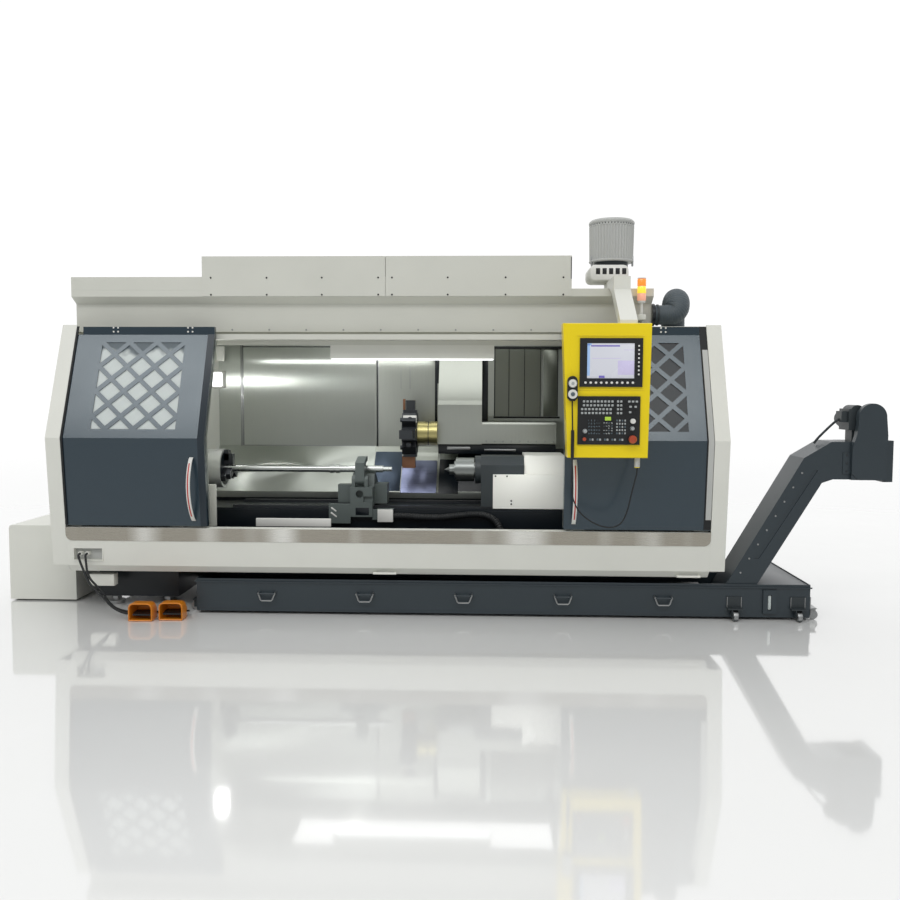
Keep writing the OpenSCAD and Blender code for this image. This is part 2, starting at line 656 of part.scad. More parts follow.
// Foot-switch cords from the recess, down and along the floor into the guards
pedal_cord_r = 7;
left_route = [[0, 59, 390], [3, 30, 382], [23, 12, 341], [57, -8, 282], [97, -30, 221],
    [157, -48, 166], [214, -60, 115], [263, -68, 71], [314, -73, 46], [349, -75, 38],
    [465 - pedal_w / 2 - 0.5, -75, 38]];
right_route = [[46, 59, 390], [49, 30, 382], [59, 14, 341], [73, -2, 288], [99, -18, 242],
    [140, -28, 203], [187, -36, 157], [221, -38, 104], [266, -25, 57], [314, 0, 33], [369, 36, 18],
    [449, 62, 12], [549, 76, 12], [617, 82, 20], [643, 78, 34], [647, 68, 40], [647, 50.5, 40]];
module left_pedal_cord() machine() color("black") translate([gland_x[0], 0, 0]) tube(left_route, 3,
    pedal_cord_r, 10, [0.4, 0.3, 1]);
module right_pedal_cord() machine() color("black") translate([gland_x[0], 0, 0]) tube(right_route, 3,
    pedal_cord_r, 10, [0.4, 0.3, 1]);

// Door leaf with a lattice window cut in its skin and a pocket for the pane
lattice_w = 182;
lattice_h = 172;
lattice_bar = 30;
module lattice() intersection() {
    translate([0, win_up]) square([win_w, win_h]);
    for (i = [0:ceil(win_w / lattice_w)], j = [0:2 * ceil(win_h / lattice_h)])
        translate([(i + (j % 2) / 2) * lattice_w, win_up + j * lattice_h / 2])
            polygon([[0, -lattice_h / 2 + lattice_bar * 0.7], [lattice_w / 2 - lattice_bar * 0.7, 0],
                [0, lattice_h / 2 - lattice_bar * 0.7], [-lattice_w / 2 + lattice_bar * 0.7, 0]]);
}
module on_slope(y) translate([0, y, knee_z]) rotate([-slope_a, 0, 0]) children();
module door_leaf(x0, win_x) {
    difference() {
        along_x(x0, x0 + door_w) front_band(door_low, door_high, door_gap, door_gap + door_t);
        on_slope(door_gap) translate([win_x, 0, 0]) {
            along_y(-eps, skin_t + eps) lattice();
            along_y(skin_t, 2 * door_t) translate([-12, win_up - 12]) square([win_w + 24, win_h + 24]);
        }
    }
    block([x0 + hang_in, hang_y0, door_high - 30], [x0 + door_w, hang_y0 + 34, door_high + 52]);
    for (x = [x0 + hang_in + 138, x0 + door_w - 150])
        block([x - 60, hang_y0 + 20, track_z + fit], [x + 60, track_y + 40, track_z + 10]);
}
left_x0 = -door_x - door_w;
left_win = -door_x - win_margin - win_w;
right_win = door_x + 220;
module left_door() machine() color("darkslategray") door_leaf(left_x0, left_win);
module right_door() machine() color("darkslategray") mirror([1, 0, 0]) door_leaf(left_x0,
    -right_win - win_w);
module pane(x) on_slope(door_gap) block([x - 11, skin_t + fit, win_up - 11],
    [x + win_w + 11, skin_t + pane_t, win_up + win_h + 11]);
module left_pane() machine() color("lightgray") pane(left_win);
module right_pane() machine() color("lightgray") pane(right_win);
// Bow handle standing off the lower door panel
bow_r = 9;
bow_out = 52;
bow_z = door_low + 35;
module bow(x) {
    z1 = bow_z + bow_len;
    lean = atan2(front_y(bow_z) - front_y(z1), bow_len);
    translate([x, door_gap + front_y(bow_z), bow_z]) rotate([lean, 0, 0]) {
        for (z = [12, bow_len - 12]) translate([0, -bow_out, z]) rotate([-90, 0,
            0]) cylinder(h = bow_out - fit, r = bow_r);
        translate([0, -bow_out, 0]) cylinder(h = bow_len, r = bow_r);
    }
}
handle_in = 62;
module left_door_handle() machine() color("silver") bow(-door_x - handle_in - 22);
module right_door_handle() machine() color("silver") bow(door_x + handle_in);
module inner_leaf(x0) {
    along_x(x0, x0 + door_w) front_band(door_low + 4, track_z - 42, leaf_y, leaf_y + leaf_t);
    for (x = [x0 + 100, x0 + door_w - 100])
        block([x - 40, leaf_y + front_y(door_low) + 2, sill_z + fit],
            [x + 40, leaf_y + front_y(door_low) + leaf_t - 2, door_low + 10]);
}
module left_inner_leaf() machine() color("gray") inner_leaf(left_x0);
module right_inner_leaf() machine() color("gray") mirror([1, 0, 0]) inner_leaf(left_x0);

// Three-jaw chuck and stepped workpiece
module chuck() machine() color("silver") {
    difference() {
        union() {
            rod_x(chuck_x, chuck_face, axis_y, axis_z, chuck_d / 2);
            for (k = [0:2]) translate([0, axis_y, axis_z]) rotate([120 * k, 0, 0]) {
                block([chuck_face - eps, -22, bar_d / 2 + 1],
                    [chuck_face + jaw_len, 22, chuck_d / 2 - 32]);
                block([chuck_face - eps, -22, bar_d / 2 + 30], [chuck_face + 34, 22, chuck_d / 2 - 6]);
            }
        }
        rod_x(chuck_face - 60, chuck_face + jaw_len + eps, axis_y, axis_z, bar_d / 2 + 0.8);
    }
}
module workpiece() machine() color("silver") {
    rod_x(chuck_face - 60 + fit, chuck_face + bar_len - 60, axis_y, axis_z, bar_d / 2);
    rod_x(chuck_face + collar_x, chuck_face + collar_x + 26, axis_y, axis_z, bar_d / 2 + 7);
    rod_x(chuck_face + collar_x + 42, chuck_face + collar_x + 68, axis_y, axis_z, bar_d / 2 + 7);
    rod_x(chuck_face + bar_len - 61, chuck_face + bar_len, axis_y, axis_z, bar_d / 2 - 8);
}
// Carriage housing with its arm, sloped apron and the cover sheets that travel with it
module carriage_cover() machine() color("silver") {
    along_x(carr_x0, carr_x1) polygon([[carr_y, 1060], [carr_y, 1345], [carr_y + 22, 1375],
        [carr_y + 230, 1700],
        [carr_back, 1700], [carr_back, 1060]]);
    along_x(carr_x1 - eps, arm_x1) polygon([[carr_y, 1066], [carr_y, 1206], [carr_y + 12, 1219],
        [carr_back, 1219], [carr_back, 1066]]);
    along_x(-194, carr_x0 + eps) guard_face(2 * layer, layer_t, top_z - sheet - 10);
    block([carr_x0 - 20, carr_back - 20, 1080], [carr_x0 + eps, wall_y - 2 * layer + eps, 1500]);
    along_x(carr_x1 - eps, 711) translate([wall_y - 4 * layer, cover_low]) square([layer_t,
        cover_top - cover_low]);
    along_x(20, 290) translate([-2 * layer - run, 0]) polygon([[lip_y_pos + 20, lip_z + 20],
        [lip_y_pos + 12, lip_z + 28],
        [wall_y - 60, crease_z - 44], [wall_y - 52, crease_z - 52]]);
    along_x(20, 290) translate([-2 * layer, 0]) polygon([[wall_y - 60, crease_z - 60],
        [wall_y - 90, crease_z - 74],
        [wall_y - 60, crease_z - 40], [wall_y - 40, crease_z - 40]]);
}
module turret_body() machine() color("goldenrod") {
    rod_x(disc_x1 + run, carr_x0 - run, turret_y, turret_z, turret_d / 2 - 4);
    rod_x(disc_x1 + run, disc_x1 + 60, turret_y, turret_z, turret_d / 2);
    rod_x(carr_x0 - 46, carr_x0 - run, turret_y, turret_z, turret_d / 2);
    block([disc_x1 + 50, turret_y, turret_z - 70], [carr_x0 - run, turret_y + 200, turret_z + 70]);
}
// Turret disc with a tool holder on each station
module turret_disc() machine() color("dimgray") translate([0, turret_y, turret_z]) {
    difference() {
        rotate([0, 90, 0]) rotate([0, 0, 22.5]) translate([0, 0,
            disc_x0]) cylinder(h = disc_x1 - disc_x0, r = disc_r, $fn = 8);
        rod_x(disc_x0 - eps, disc_x0 + 20, 0, 0, 40);
    }
    rod_x(disc_x0 + 6, disc_x0 + 21, 0, 0, 24);
    for (k = [0:stations - 1]) rotate([360 * k / stations, 0, 0]) {
        long_tool = k % 2 == 0;
        slim = k == 0 ? 30 : 0;
        block([disc_x0 + 4, -38, disc_r - 14], [disc_x1 - 6, 38, disc_r + 50]);
        if (long_tool) block([disc_x0 - 6 + slim, -30, disc_r + 48], [disc_x1 - 20, 30, tool_r]);
        else rod_x(disc_x0 - 10, disc_x0 + 6, 0, disc_r + 20, 16);
    }
}
// Tailstock casting on the ways, its covers and the quill
tail_base = ledge_z + rail_h + fit;
module tailstock() machine() color("darkslategray") {
    difference() {
        union() {
            rod_x(tail_x0 - 40, tail_x1, axis_y, axis_z, 96);
            along_x(tail_x0, tail_x1) polygon([[axis_y - 96, axis_z], [axis_y - 96, axis_z + 40],
                [axis_y - 40, axis_z + 96],
                [axis_y + 120, axis_z + 96], [axis_y + 240, 760], [axis_y + 240, tail_base],
                    [axis_y - 96, tail_base]]);
        }
        rod_x(tail_x0 - 41, tail_x1 + eps, axis_y, axis_z, 52);
    }
    block([tail_x1 - eps, axis_y - 70, tail_base], [tail_cover_x1, axis_y + 240, tail_base + 60]);
}
module tailstock_covers() machine() color("whitesmoke") {
    block([tail_x1 + fit, axis_y - 78, 879 + fit], [tail_cover_x1, axis_y + 240, 1008]);
    block([tail_x1 + fit, axis_y - 78, tail_base + 60 + fit], [tail_cover_x1, axis_y + 240, 879]);
    block([695, axis_y - 114, ledge_z + 6], [tail_cover_x1, axis_y - 96 - fit, 879]);
}
module quill() machine() color("silver") {
    rod_x(tail_x0 - 40 - 8, tail_x1 - 40, axis_y, axis_z, 52 - fit);
    rod_x(440, tail_x0 - 47, axis_y, axis_z, quill_d / 2);
    rod_x(430, 441, axis_y, axis_z, 60);
    translate([quill_x0 + 34, axis_y, axis_z]) rotate([0, 90, 0]) cylinder(h = 36, r = 36);
    translate([quill_x0, axis_y, axis_z]) rotate([0, 90, 0]) cylinder(h = 35, r1 = 2, r2 = 22);
}
// Steady rest: clamped base, bearing block under the workpiece and hinged upper arm
module steady_rest() machine() color("dimgray") {
    low = axis_z - bar_d / 2 - fit;
    front = axis_y - 170;
    edge = ledge_y - guard_t - 2 * run - 3;
    difference() {
        along_x(steady_x0, steady_x1) polygon([[front, 590], [edge, 590], [edge, tail_base],
            [axis_y + 260, tail_base],
            [axis_y + 260, 740], [axis_y + 60, low - 20], [axis_y + 20, low], [axis_y - 40, low - 6],
            [axis_y - 66, 790], [front, 790]]);
        rod_y(front - eps, front + 50, (steady_x0 + steady_x1) / 2 - 12, 745, 26);
        block([steady_x0 + 90, front - eps, 690], [steady_x1 + eps, front + 20, 730]);
    }
    for (x = [steady_arm_x0 - 24, steady_arm_x0 + arm_w + 1])
        along_x(x, x + 23) {
            translate([pivot_y, pivot_z]) circle(pivot_r);
            translate([pivot_y - pivot_r, 780]) square([2 * pivot_r, pivot_z - 780]);
        }
    rod_x(steady_arm_x0 - 25, steady_arm_x0 + arm_w + 25, pivot_y, pivot_z, pin_r);
    block([steady_x0 - 97, axis_y - 80, tail_base + 20], [steady_x0 + eps, axis_y, 800]);
    block([steady_x0 - 146, front, 545], [steady_x0 + eps, edge, 676]);
    block([steady_x1 - eps, axis_y - 40, tail_base + 10], [steady_x1 + 86, axis_y + 100, 801]);
    block([steady_x1 + 35, front - 10, 557], [steady_x1 + 142, edge, 646]);
    block([steady_x1 - eps, front + 10, 570], [steady_x1 + 36, edge, 640]);
}
module steady_arm() machine() color("gray") {
    z_top = axis_z + bar_d / 2;
    difference() {
        along_x(steady_arm_x0, steady_arm_x0 + arm_w) {
            translate([pivot_y, pivot_z]) circle(pivot_r);
            polygon([[pivot_y - pivot_r, pivot_z], [pivot_y - pivot_r, z_top + 30],
                [axis_y - 20, z_top + 62], [axis_y + 36, z_top + 62],
                [axis_y + 36, z_top + 30], [axis_y - 34, z_top + 26], [pivot_y + 46, axis_z + 10],
                    [pivot_y + pivot_r, pivot_z]]);
        }
        rod_x(steady_arm_x0 - eps, steady_arm_x0 + arm_w + eps, pivot_y, pivot_z, pin_r + fit);
    }
    rod_x(steady_arm_x0 + 8, steady_arm_x0 + arm_w - 8, axis_y, z_top + 16 + fit, 16);
}
// Corrugated hose from the steady rest to the trough
hose_r = 24;
hose_y = ledge_y - 36;
hose_route = [[21.4, hose_y, 596], [60, hose_y, 596], [120, hose_y, 595], [220, hose_y - 2, 589],
    [340, hose_y - 4, 590],
    [460, hose_y - 2, 602], [560, hose_y, 612], [640, hose_y - 2, 606], [700, hose_y - 10, 580],
        [735, hose_y - 26, 540],
    [748, hose_y - 40, 490], [750, hose_y - 44, 448]];
module steady_hose() machine() color("black") tube(hose_route, 2, hose_r, 12, [0, 1, 0.1]);

// Boom from the hood to the operator panel
module pendant_arm() carried() color("gainsboro") {
    along_x(arm_x - arm_half - 12, arm_x + arm_half - 12) polygon([[440, flat_z + fit],
        [440, flat_z + 50],
        [boom_y, flat_z + 50], [boom_y, flat_z - 32], [swing_y - 42, panel_z1 + 22],
        [swing_y - 42, panel_z1 + run], [swing_y + 48, panel_z1 + run], [boom_y + 90, flat_z - 50],
        [lip_y - 15, flat_z + fit]]);
    translate([arm_x, swing_y, panel_z1 - 40]) cylinder(h = 45, r = neck_r);
}
// Panel housing: a box that tapers downwards, with a slanted left flank
module panel_face(inset, left) polygon([[panel_x0 - left, panel_z1 - inset], [panel_x1, panel_z1 - inset],
    [panel_x1 - 13, panel_z0 + inset], [panel_x0 + 35 - left, panel_z0 + inset]]);
plug = [1552, -157, 988];
module panel_housing() carried() color("gold") {
    difference() {
        hull() {
            along_y(panel_y, panel_y + 2) panel_face(4, 0);
            along_y(panel_y + 8, panel_y + panel_d) panel_face(0, 38);
        }
        translate([arm_x, swing_y, panel_z1 - 41]) cylinder(h = 60, r = neck_r + fit);
    }
    translate(plug) cylinder(h = panel_z0 - plug.z + eps, r = 16);
}
screen = [1196, 1471, 1566, 1759];
lcd = [1238, 1521, 1518, 1730];
pad = [1187, 1128, 1556, 1416];
module screen_unit() carried() color("black") {
    difference() {
        along_y(panel_y - 12, panel_y - fit) translate([screen[0],
            screen[1]]) square([screen[2] - screen[0], screen[3] - screen[1]]);
        along_y(panel_y - 13, panel_y - 8) translate([lcd[0], lcd[1]]) square([lcd[2] - lcd[0],
            lcd[3] - lcd[1]]);
    }
    for (k = [0:9]) rod_y(panel_y - 16, panel_y - 11, 1230 + 32 * k, 1496, 8);
    for (k = [0:7]) rod_y(panel_y - 16, panel_y - 11, 1542, 1540 + 25 * k, 8);
}
estop_c = [1508, 1162];
knob_c = [1512, 1269];
module keypad() carried() color("black") {
    difference() {
        along_y(panel_y - 10, panel_y - fit) translate([pad[0], pad[1]]) square([pad[2] - pad[0],
            pad[3] - pad[1]]);
        rod_y(panel_y - 11, panel_y + eps, estop_c.x, estop_c.y, 12);
        rod_y(panel_y - 11, panel_y + eps, knob_c.x, knob_c.y, 6);
    }
    for (i = [0:13], j = [0:3]) block([1208 + 24 * i, panel_y - 14, 1312 + 24 * j],
        [1226 + 24 * i, panel_y - 9, 1329 + 24 * j]);
    for (i = [0:3], j = [0:3], b = [0, 1]) block([1252 + 84 * b + 19 * i, panel_y - 14, 1196 + 22 * j],
        [1266 + 84 * b + 19 * i, panel_y - 9, 1212 + 22 * j]);
    rod_y(panel_y - 26, panel_y - 9, 1227, 1161, 15);
    rod_y(panel_y - 24, panel_y - 9, 1231, 1208, 12);
    rod_y(panel_y - 24, panel_y - 9, 1511, 1225, 13);
}
module estop_button() carried() color("red") {
    rod_y(panel_y - estop_h, panel_y - estop_h + 22, estop_c.x, estop_c.y, estop_d / 2);
    rod_y(panel_y - estop_h + 21, panel_y - 18, estop_c.x, estop_c.y, estop_d / 2 - 6);
    rod_y(panel_y - 19, panel_y - 8, estop_c.x, estop_c.y, 12 - fit);
}
module feed_knob() carried() color("whitesmoke") {
    rod_y(panel_y - 32, panel_y - 10 - fit, knob_c.x, knob_c.y, 15);
    rod_y(panel_y - 11, panel_y - fit, knob_c.x, knob_c.y, 6 - fit);
    block([knob_c.x - 3, panel_y - 36, knob_c.y - 14], [knob_c.x + 3, panel_y - 31, knob_c.y + 14]);
}
// Hand pulse pendant hung on the panel's left edge
pulse_x = 1153;
pulse_dial_z = 1428;
module pulse_pendant() carried() color("black") difference() {
    union() {
        along_y(panel_y - 34, panel_y - fit) {
            translate([pulse_x - 30, 1405]) square([60, 105]);
            translate([pulse_x, 1505]) circle(30);
            polygon([[pulse_x - 30, 1406], [pulse_x + 30, 1406], [pulse_x + 14, 1387],
                [pulse_x - 14, 1387]]);
        }
        rod_y(panel_y - 46, panel_y - 33, pulse_x, 1491, 24);
    }
    rod_y(panel_y - 35, panel_y - 20, pulse_x, pulse_dial_z, 8);
}
module pulse_dial() carried() color("whitesmoke") {
    rod_y(panel_y - 50, panel_y - 34 - fit, pulse_x, pulse_dial_z, 27);
    rod_y(panel_y - 35, panel_y - 22, pulse_x, pulse_dial_z, 8 - fit);
}
// Pendant cord: down, a slack loop and up into the connector under the panel
pulse_route = [[1153, -217, 1386.7], [1154, -217, 1330], [1157, -217, 1214], [1158, -218, 1046],
    [1158, -216, 860],
    [1178, -214, 770], [1228, -210, 700], [1306, -206, 650], [1390, -200, 630], [1455, -192, 655],
    [1492, -184, 725], [1516, -175, 820], [1534, -167, 890], [1548, -158, 940], [1552, -157, 964],
        [1552, -157, 987.5]];
module pulse_cord() carried() color("black") tube(pulse_route, 3, 4, 8, [0, 1, 0]);

bed_casting();
levelling_feet();
guide_rails();
headstock();
left_end_panel();
right_end_panel();
front_sill();
sill_plate();
rear_panel();
header();
back_guard();
chip_trough();
way_cover_left();
way_cover_right_1();
way_cover_right_2();
way_cover_right_3();
work_lamps();
motor_cover();
coolant_tank();
sight_glass();
tank_casters();
conveyor_trunk();
conveyor_head();
conveyor_motor();
mist_collector();
beacon();
exhaust_duct();
pedal_guards();
left_pedal();
right_pedal();
left_pedal_cord();
right_pedal_cord();
left_door();
right_door();
left_pane();
right_pane();
left_door_handle();
right_door_handle();
left_inner_leaf();
right_inner_leaf();
chuck();
workpiece();
carriage_cover();
turret_body();
turret_disc();
tailstock();
tailstock_covers();
quill();
steady_rest();
steady_arm();
steady_hose();
pendant_arm();
panel_housing();
screen_unit();
keypad();
estop_button();
feed_knob();
pulse_pendant();
pulse_dial();
pulse_cord();
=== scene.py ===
import math
import bpy
import numpy as np
from mathutils import Matrix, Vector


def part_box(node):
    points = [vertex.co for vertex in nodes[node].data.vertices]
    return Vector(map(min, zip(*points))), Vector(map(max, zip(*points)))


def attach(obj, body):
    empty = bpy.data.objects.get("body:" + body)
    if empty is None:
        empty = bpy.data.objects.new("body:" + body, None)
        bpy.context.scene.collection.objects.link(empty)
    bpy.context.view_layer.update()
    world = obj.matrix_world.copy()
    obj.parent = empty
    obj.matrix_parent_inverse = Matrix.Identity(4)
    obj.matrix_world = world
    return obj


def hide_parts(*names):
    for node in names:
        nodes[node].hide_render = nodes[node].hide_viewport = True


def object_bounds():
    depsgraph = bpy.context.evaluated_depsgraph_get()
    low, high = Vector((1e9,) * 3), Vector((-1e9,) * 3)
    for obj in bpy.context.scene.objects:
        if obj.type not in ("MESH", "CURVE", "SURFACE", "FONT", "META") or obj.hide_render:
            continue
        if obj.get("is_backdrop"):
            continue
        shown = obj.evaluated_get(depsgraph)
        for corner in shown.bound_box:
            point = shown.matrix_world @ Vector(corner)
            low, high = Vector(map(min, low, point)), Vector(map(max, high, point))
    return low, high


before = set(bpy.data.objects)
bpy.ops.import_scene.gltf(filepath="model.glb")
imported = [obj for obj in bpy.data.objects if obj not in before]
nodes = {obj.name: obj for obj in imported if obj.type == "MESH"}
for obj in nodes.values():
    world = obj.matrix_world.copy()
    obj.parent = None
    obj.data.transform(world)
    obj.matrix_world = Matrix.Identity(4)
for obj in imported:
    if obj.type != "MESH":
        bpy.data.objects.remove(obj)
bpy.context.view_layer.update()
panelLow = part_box("left_end_panel")[0]
print("stage: frame loaded,", len(nodes), "nodes")

# Millimetres on the machine: x from the middle of the cabinet, y from the knee of the front, z from the floor.
halfCabinet = 2.15
machine = {"x": panelLow.x + halfCabinet, "y": panelLow.y, "z": 0.0}


def at(x, y, z):
    return np.array([x / 1000 + machine["x"], y / 1000 + machine["y"], z / 1000 + machine["z"]])


def spots(points):
    return np.array([at(*p) for p in points])


# The front leans back above the knee and below it.
knee = {"z": 1140, "backAbove": 284, "riseAbove": 732, "backBelow": 68, "dropBelow": 826}


def frontY(z):
    if z > knee["z"]:
        return knee["backAbove"] * (z - knee["z"]) / knee["riseAbove"]
    return knee["backBelow"] * (knee["z"] - z) / knee["dropBelow"]


# Directions, and the sets of three that give a plate's width, height and facing.
axisUp, forward, rightward, backward = (0, 0, 1), (0, -1, 0), (1, 0, 0), (0, 1, 0)
upright = (rightward, axisUp, forward)
level = (rightward, backward, axisUp)
down = (rightward, backward, (0, 0, -1))
leftEnd = (forward, axisUp, (-1, 0, 0))
slope = (rightward, (0, 0.7071, 0.7071), (0, -0.7071, 0.7071))


# Camera: where the photo was taken from, with its small turn, tilt and roll.
camera = {"place": (621.5, -5469.4, 1444.3), "yaw": 0.0368, "pitch": 0.067, "roll": -0.0032, "lens": 35.2,
          "sensor": 36, "near": 0.1, "far": 100}
cy, sy = math.cos(camera["yaw"]), math.sin(camera["yaw"])
cp, sp = math.cos(camera["pitch"]), math.sin(camera["pitch"])
cr, sr = math.cos(camera["roll"]), math.sin(camera["roll"])
right = (cr * cy + sr * sp * sy, cr * sy - sr * sp * cy, -sr * cp)
up = (sr * cy - cr * sp * sy, sr * sy + cr * sp * cy, cr * cp)
back = (cp * sy, -cp * cy, sp)
eye = at(*camera["place"])
camData = bpy.data.cameras.new("photoCamera")
camData.lens, camData.sensor_width = camera["lens"], camera["sensor"]
camData.clip_start, camData.clip_end = camera["near"], camera["far"]
cam = bpy.data.objects.new("photoCamera", camData)
bpy.context.scene.collection.objects.link(cam)
cam.matrix_world = Matrix([[right[i], up[i], back[i], eye[i]] for i in range(3)] + [[0, 0, 0, 1]])
bpy.context.scene.camera = cam
print("stage: camera")


# Colours are given as they look on a screen and turned into light values.
def toLinear(hexColour):
    c = [int(hexColour[i:i + 2], 16) / 255 for i in (1, 3, 5)]
    return [v / 12.92 if v <= 0.04045 else ((v + 0.055) / 1.055) ** 2.4 for v in c] + [1.0]


def shade(colour, k):
    return [min(1.0, c * k) for c in colour[:3]] + [1.0]


# One shader node with its settings and links; numbers name sockets that share a name.
def add(tree, kind, settings=None, links=None):
    n = tree.nodes.new(kind)
    names = {s.name for s in n.inputs}
    for k, v in (settings or {}).items():
        if not isinstance(k, int) and k not in names:
            setattr(n, k, v)
    for k, v in (settings or {}).items():
        if isinstance(k, int) or k in names:
            n.inputs[k].default_value = v
    for k, s in (links or {}).items():
        tree.links.new(s, n.inputs[k])
    return n


def newMaterial(name):
    m = bpy.data.materials.new(name)
    m.use_nodes = True
    tree = m.node_tree
    return m, tree, tree.nodes["Principled BSDF"], add(tree, "ShaderNodeTexCoord").outputs["Object"]


# Paint: faint clouds of tone a third of a metre wide, and a fine orange-peel relief of about a millimetre.
def paint(name, colour, rough, peel=0.05, tone=0.05, coat=0.0, glow=0.0, gleam=None):
    m, tree, shader, co = newMaterial(name)
    base = toLinear(colour)
    cloud = add(tree, "ShaderNodeTexNoise", {"Scale": 3.0, "Detail": 3.0}, {"Vector": co}).outputs[0]
    tint = add(tree, "ShaderNodeMix", {"data_type": "RGBA", 6: shade(base, 1 - tone), 7: shade(base, 1 + tone)},
               {0: cloud})
    grain = add(tree, "ShaderNodeTexNoise", {"Scale": 700.0, "Detail": 1.0}, {"Vector": co}).outputs[0]
    bump = add(tree, "ShaderNodeBump", {"Strength": peel, "Distance": 0.001}, {"Height": grain})
    wear = add(tree, "ShaderNodeMapRange", {"To Min": rough - 0.05, "To Max": rough + 0.07}, {"Value": cloud})
    tree.links.new(tint.outputs[2], shader.inputs["Base Color"])
    tree.links.new(wear.outputs[0], shader.inputs["Roughness"])
    tree.links.new(bump.outputs[0], shader.inputs["Normal"])
    shader.inputs["Coat Weight"].default_value = coat
    shader.inputs["Coat Roughness"].default_value = 0.7 * rough
    if gleam:
        shader.inputs["Specular Tint"].default_value = toLinear(gleam)
        shader.inputs["Specular IOR Level"].default_value = 0.75
    if glow:
        shader.inputs["Emission Color"].default_value = base
        shader.inputs["Emission Strength"].default_value = glow
    return m


# Brushed metal: hair lines that run along one axis, about a millimetre apart, in tone and in gloss;
# upright lines spread a lamp's reflection sideways into a streak. Painted highlight: pale upright bands about
# 0.4 m apart, painted into the colour as gleams.
def brushed(name, colour, rough, along, tone=0.12, metal=1.0, spread=0.0, paintedHighlight=0.0):
    m, tree, shader, co = newMaterial(name)
    base = toLinear(colour)
    stretch = [4.0 if k == along else 900.0 for k in "xyz"]
    lines = add(tree, "ShaderNodeMapping", {"Scale": stretch}, {"Vector": co})
    hair = add(tree, "ShaderNodeTexNoise", {"Scale": 1.0, "Detail": 2.0}, {"Vector": lines.outputs[0]}).outputs[0]
    cloud = add(tree, "ShaderNodeTexNoise", {"Scale": 2.0, "Detail": 3.0}, {"Vector": co}).outputs[0]
    both = add(tree, "ShaderNodeMix", {0: 0.45, 2: 0.5}, {2: hair, 3: cloud})
    tint = add(tree, "ShaderNodeMix", {"data_type": "RGBA", 6: shade(base, 1 - tone), 7: shade(base, 1 + tone)},
               {0: both.outputs[0]})
    # Painted highlight: pale upright bands mixed into the colour.
    if paintedHighlight:
        gleam = add(tree, "ShaderNodeMapping", {"Scale": (2.6, 0.0, 0.15)}, {"Vector": co})
        wide = add(tree, "ShaderNodeTexNoise", {"Scale": 1.0, "Detail": 1.5}, {"Vector": gleam.outputs[0]}).outputs[0]
        part = add(tree, "ShaderNodeMapRange", {"From Min": 0.5, "From Max": 0.72, "To Max": paintedHighlight}, {"Value": wide})
        tint = add(tree, "ShaderNodeMix", {"data_type": "RGBA", 7: (1, 1, 0.96, 1)},
                   {0: part.outputs[0], 6: tint.outputs[2]})
    wear = add(tree, "ShaderNodeMapRange", {"To Min": rough - 0.1, "To Max": rough + 0.12}, {"Value": hair})
    tree.links.new(tint.outputs[2], shader.inputs["Base Color"])
    tree.links.new(wear.outputs[0], shader.inputs["Roughness"])
    shader.inputs["Metallic"].default_value = metal
    if spread:
        tangent = add(tree, "ShaderNodeTangent", {"direction_type": "RADIAL", "axis": "Z"})
        tree.links.new(tangent.outputs[0], shader.inputs["Tangent"])
        shader.inputs["Anisotropic"].default_value = spread
    return m


# Window pane with painted light and shade: pale below where the lit inside shows through, painted shade from
# the header above, with soft patches a hand wide.
def pane(name, pale, dark, low, high):
    m, tree, shader, co = newMaterial(name)
    height = add(tree, "ShaderNodeSeparateXYZ", {}, {0: co}).outputs[2]
    patch = add(tree, "ShaderNodeTexNoise", {"Scale": 9.0, "Detail": 2.0}, {"Vector": co}).outputs[0]
    blur = add(tree, "ShaderNodeMath", {"operation": "MULTIPLY_ADD", 1: 0.16}, {0: patch, 2: height})
    part = add(tree, "ShaderNodeMapRange", {"From Min": low / 1000 + 0.08, "From Max": high / 1000 + 0.08},
               {"Value": blur.outputs[0]})
    tint = add(tree, "ShaderNodeMix", {"data_type": "RGBA", 6: toLinear(pale), 7: toLinear(dark)}, {0: part.outputs[0]})
    tree.links.new(tint.outputs[2], shader.inputs["Base Color"])
    shader.inputs["Roughness"].default_value = 0.24
    shader.inputs["Specular IOR Level"].default_value = 0.3
    return m


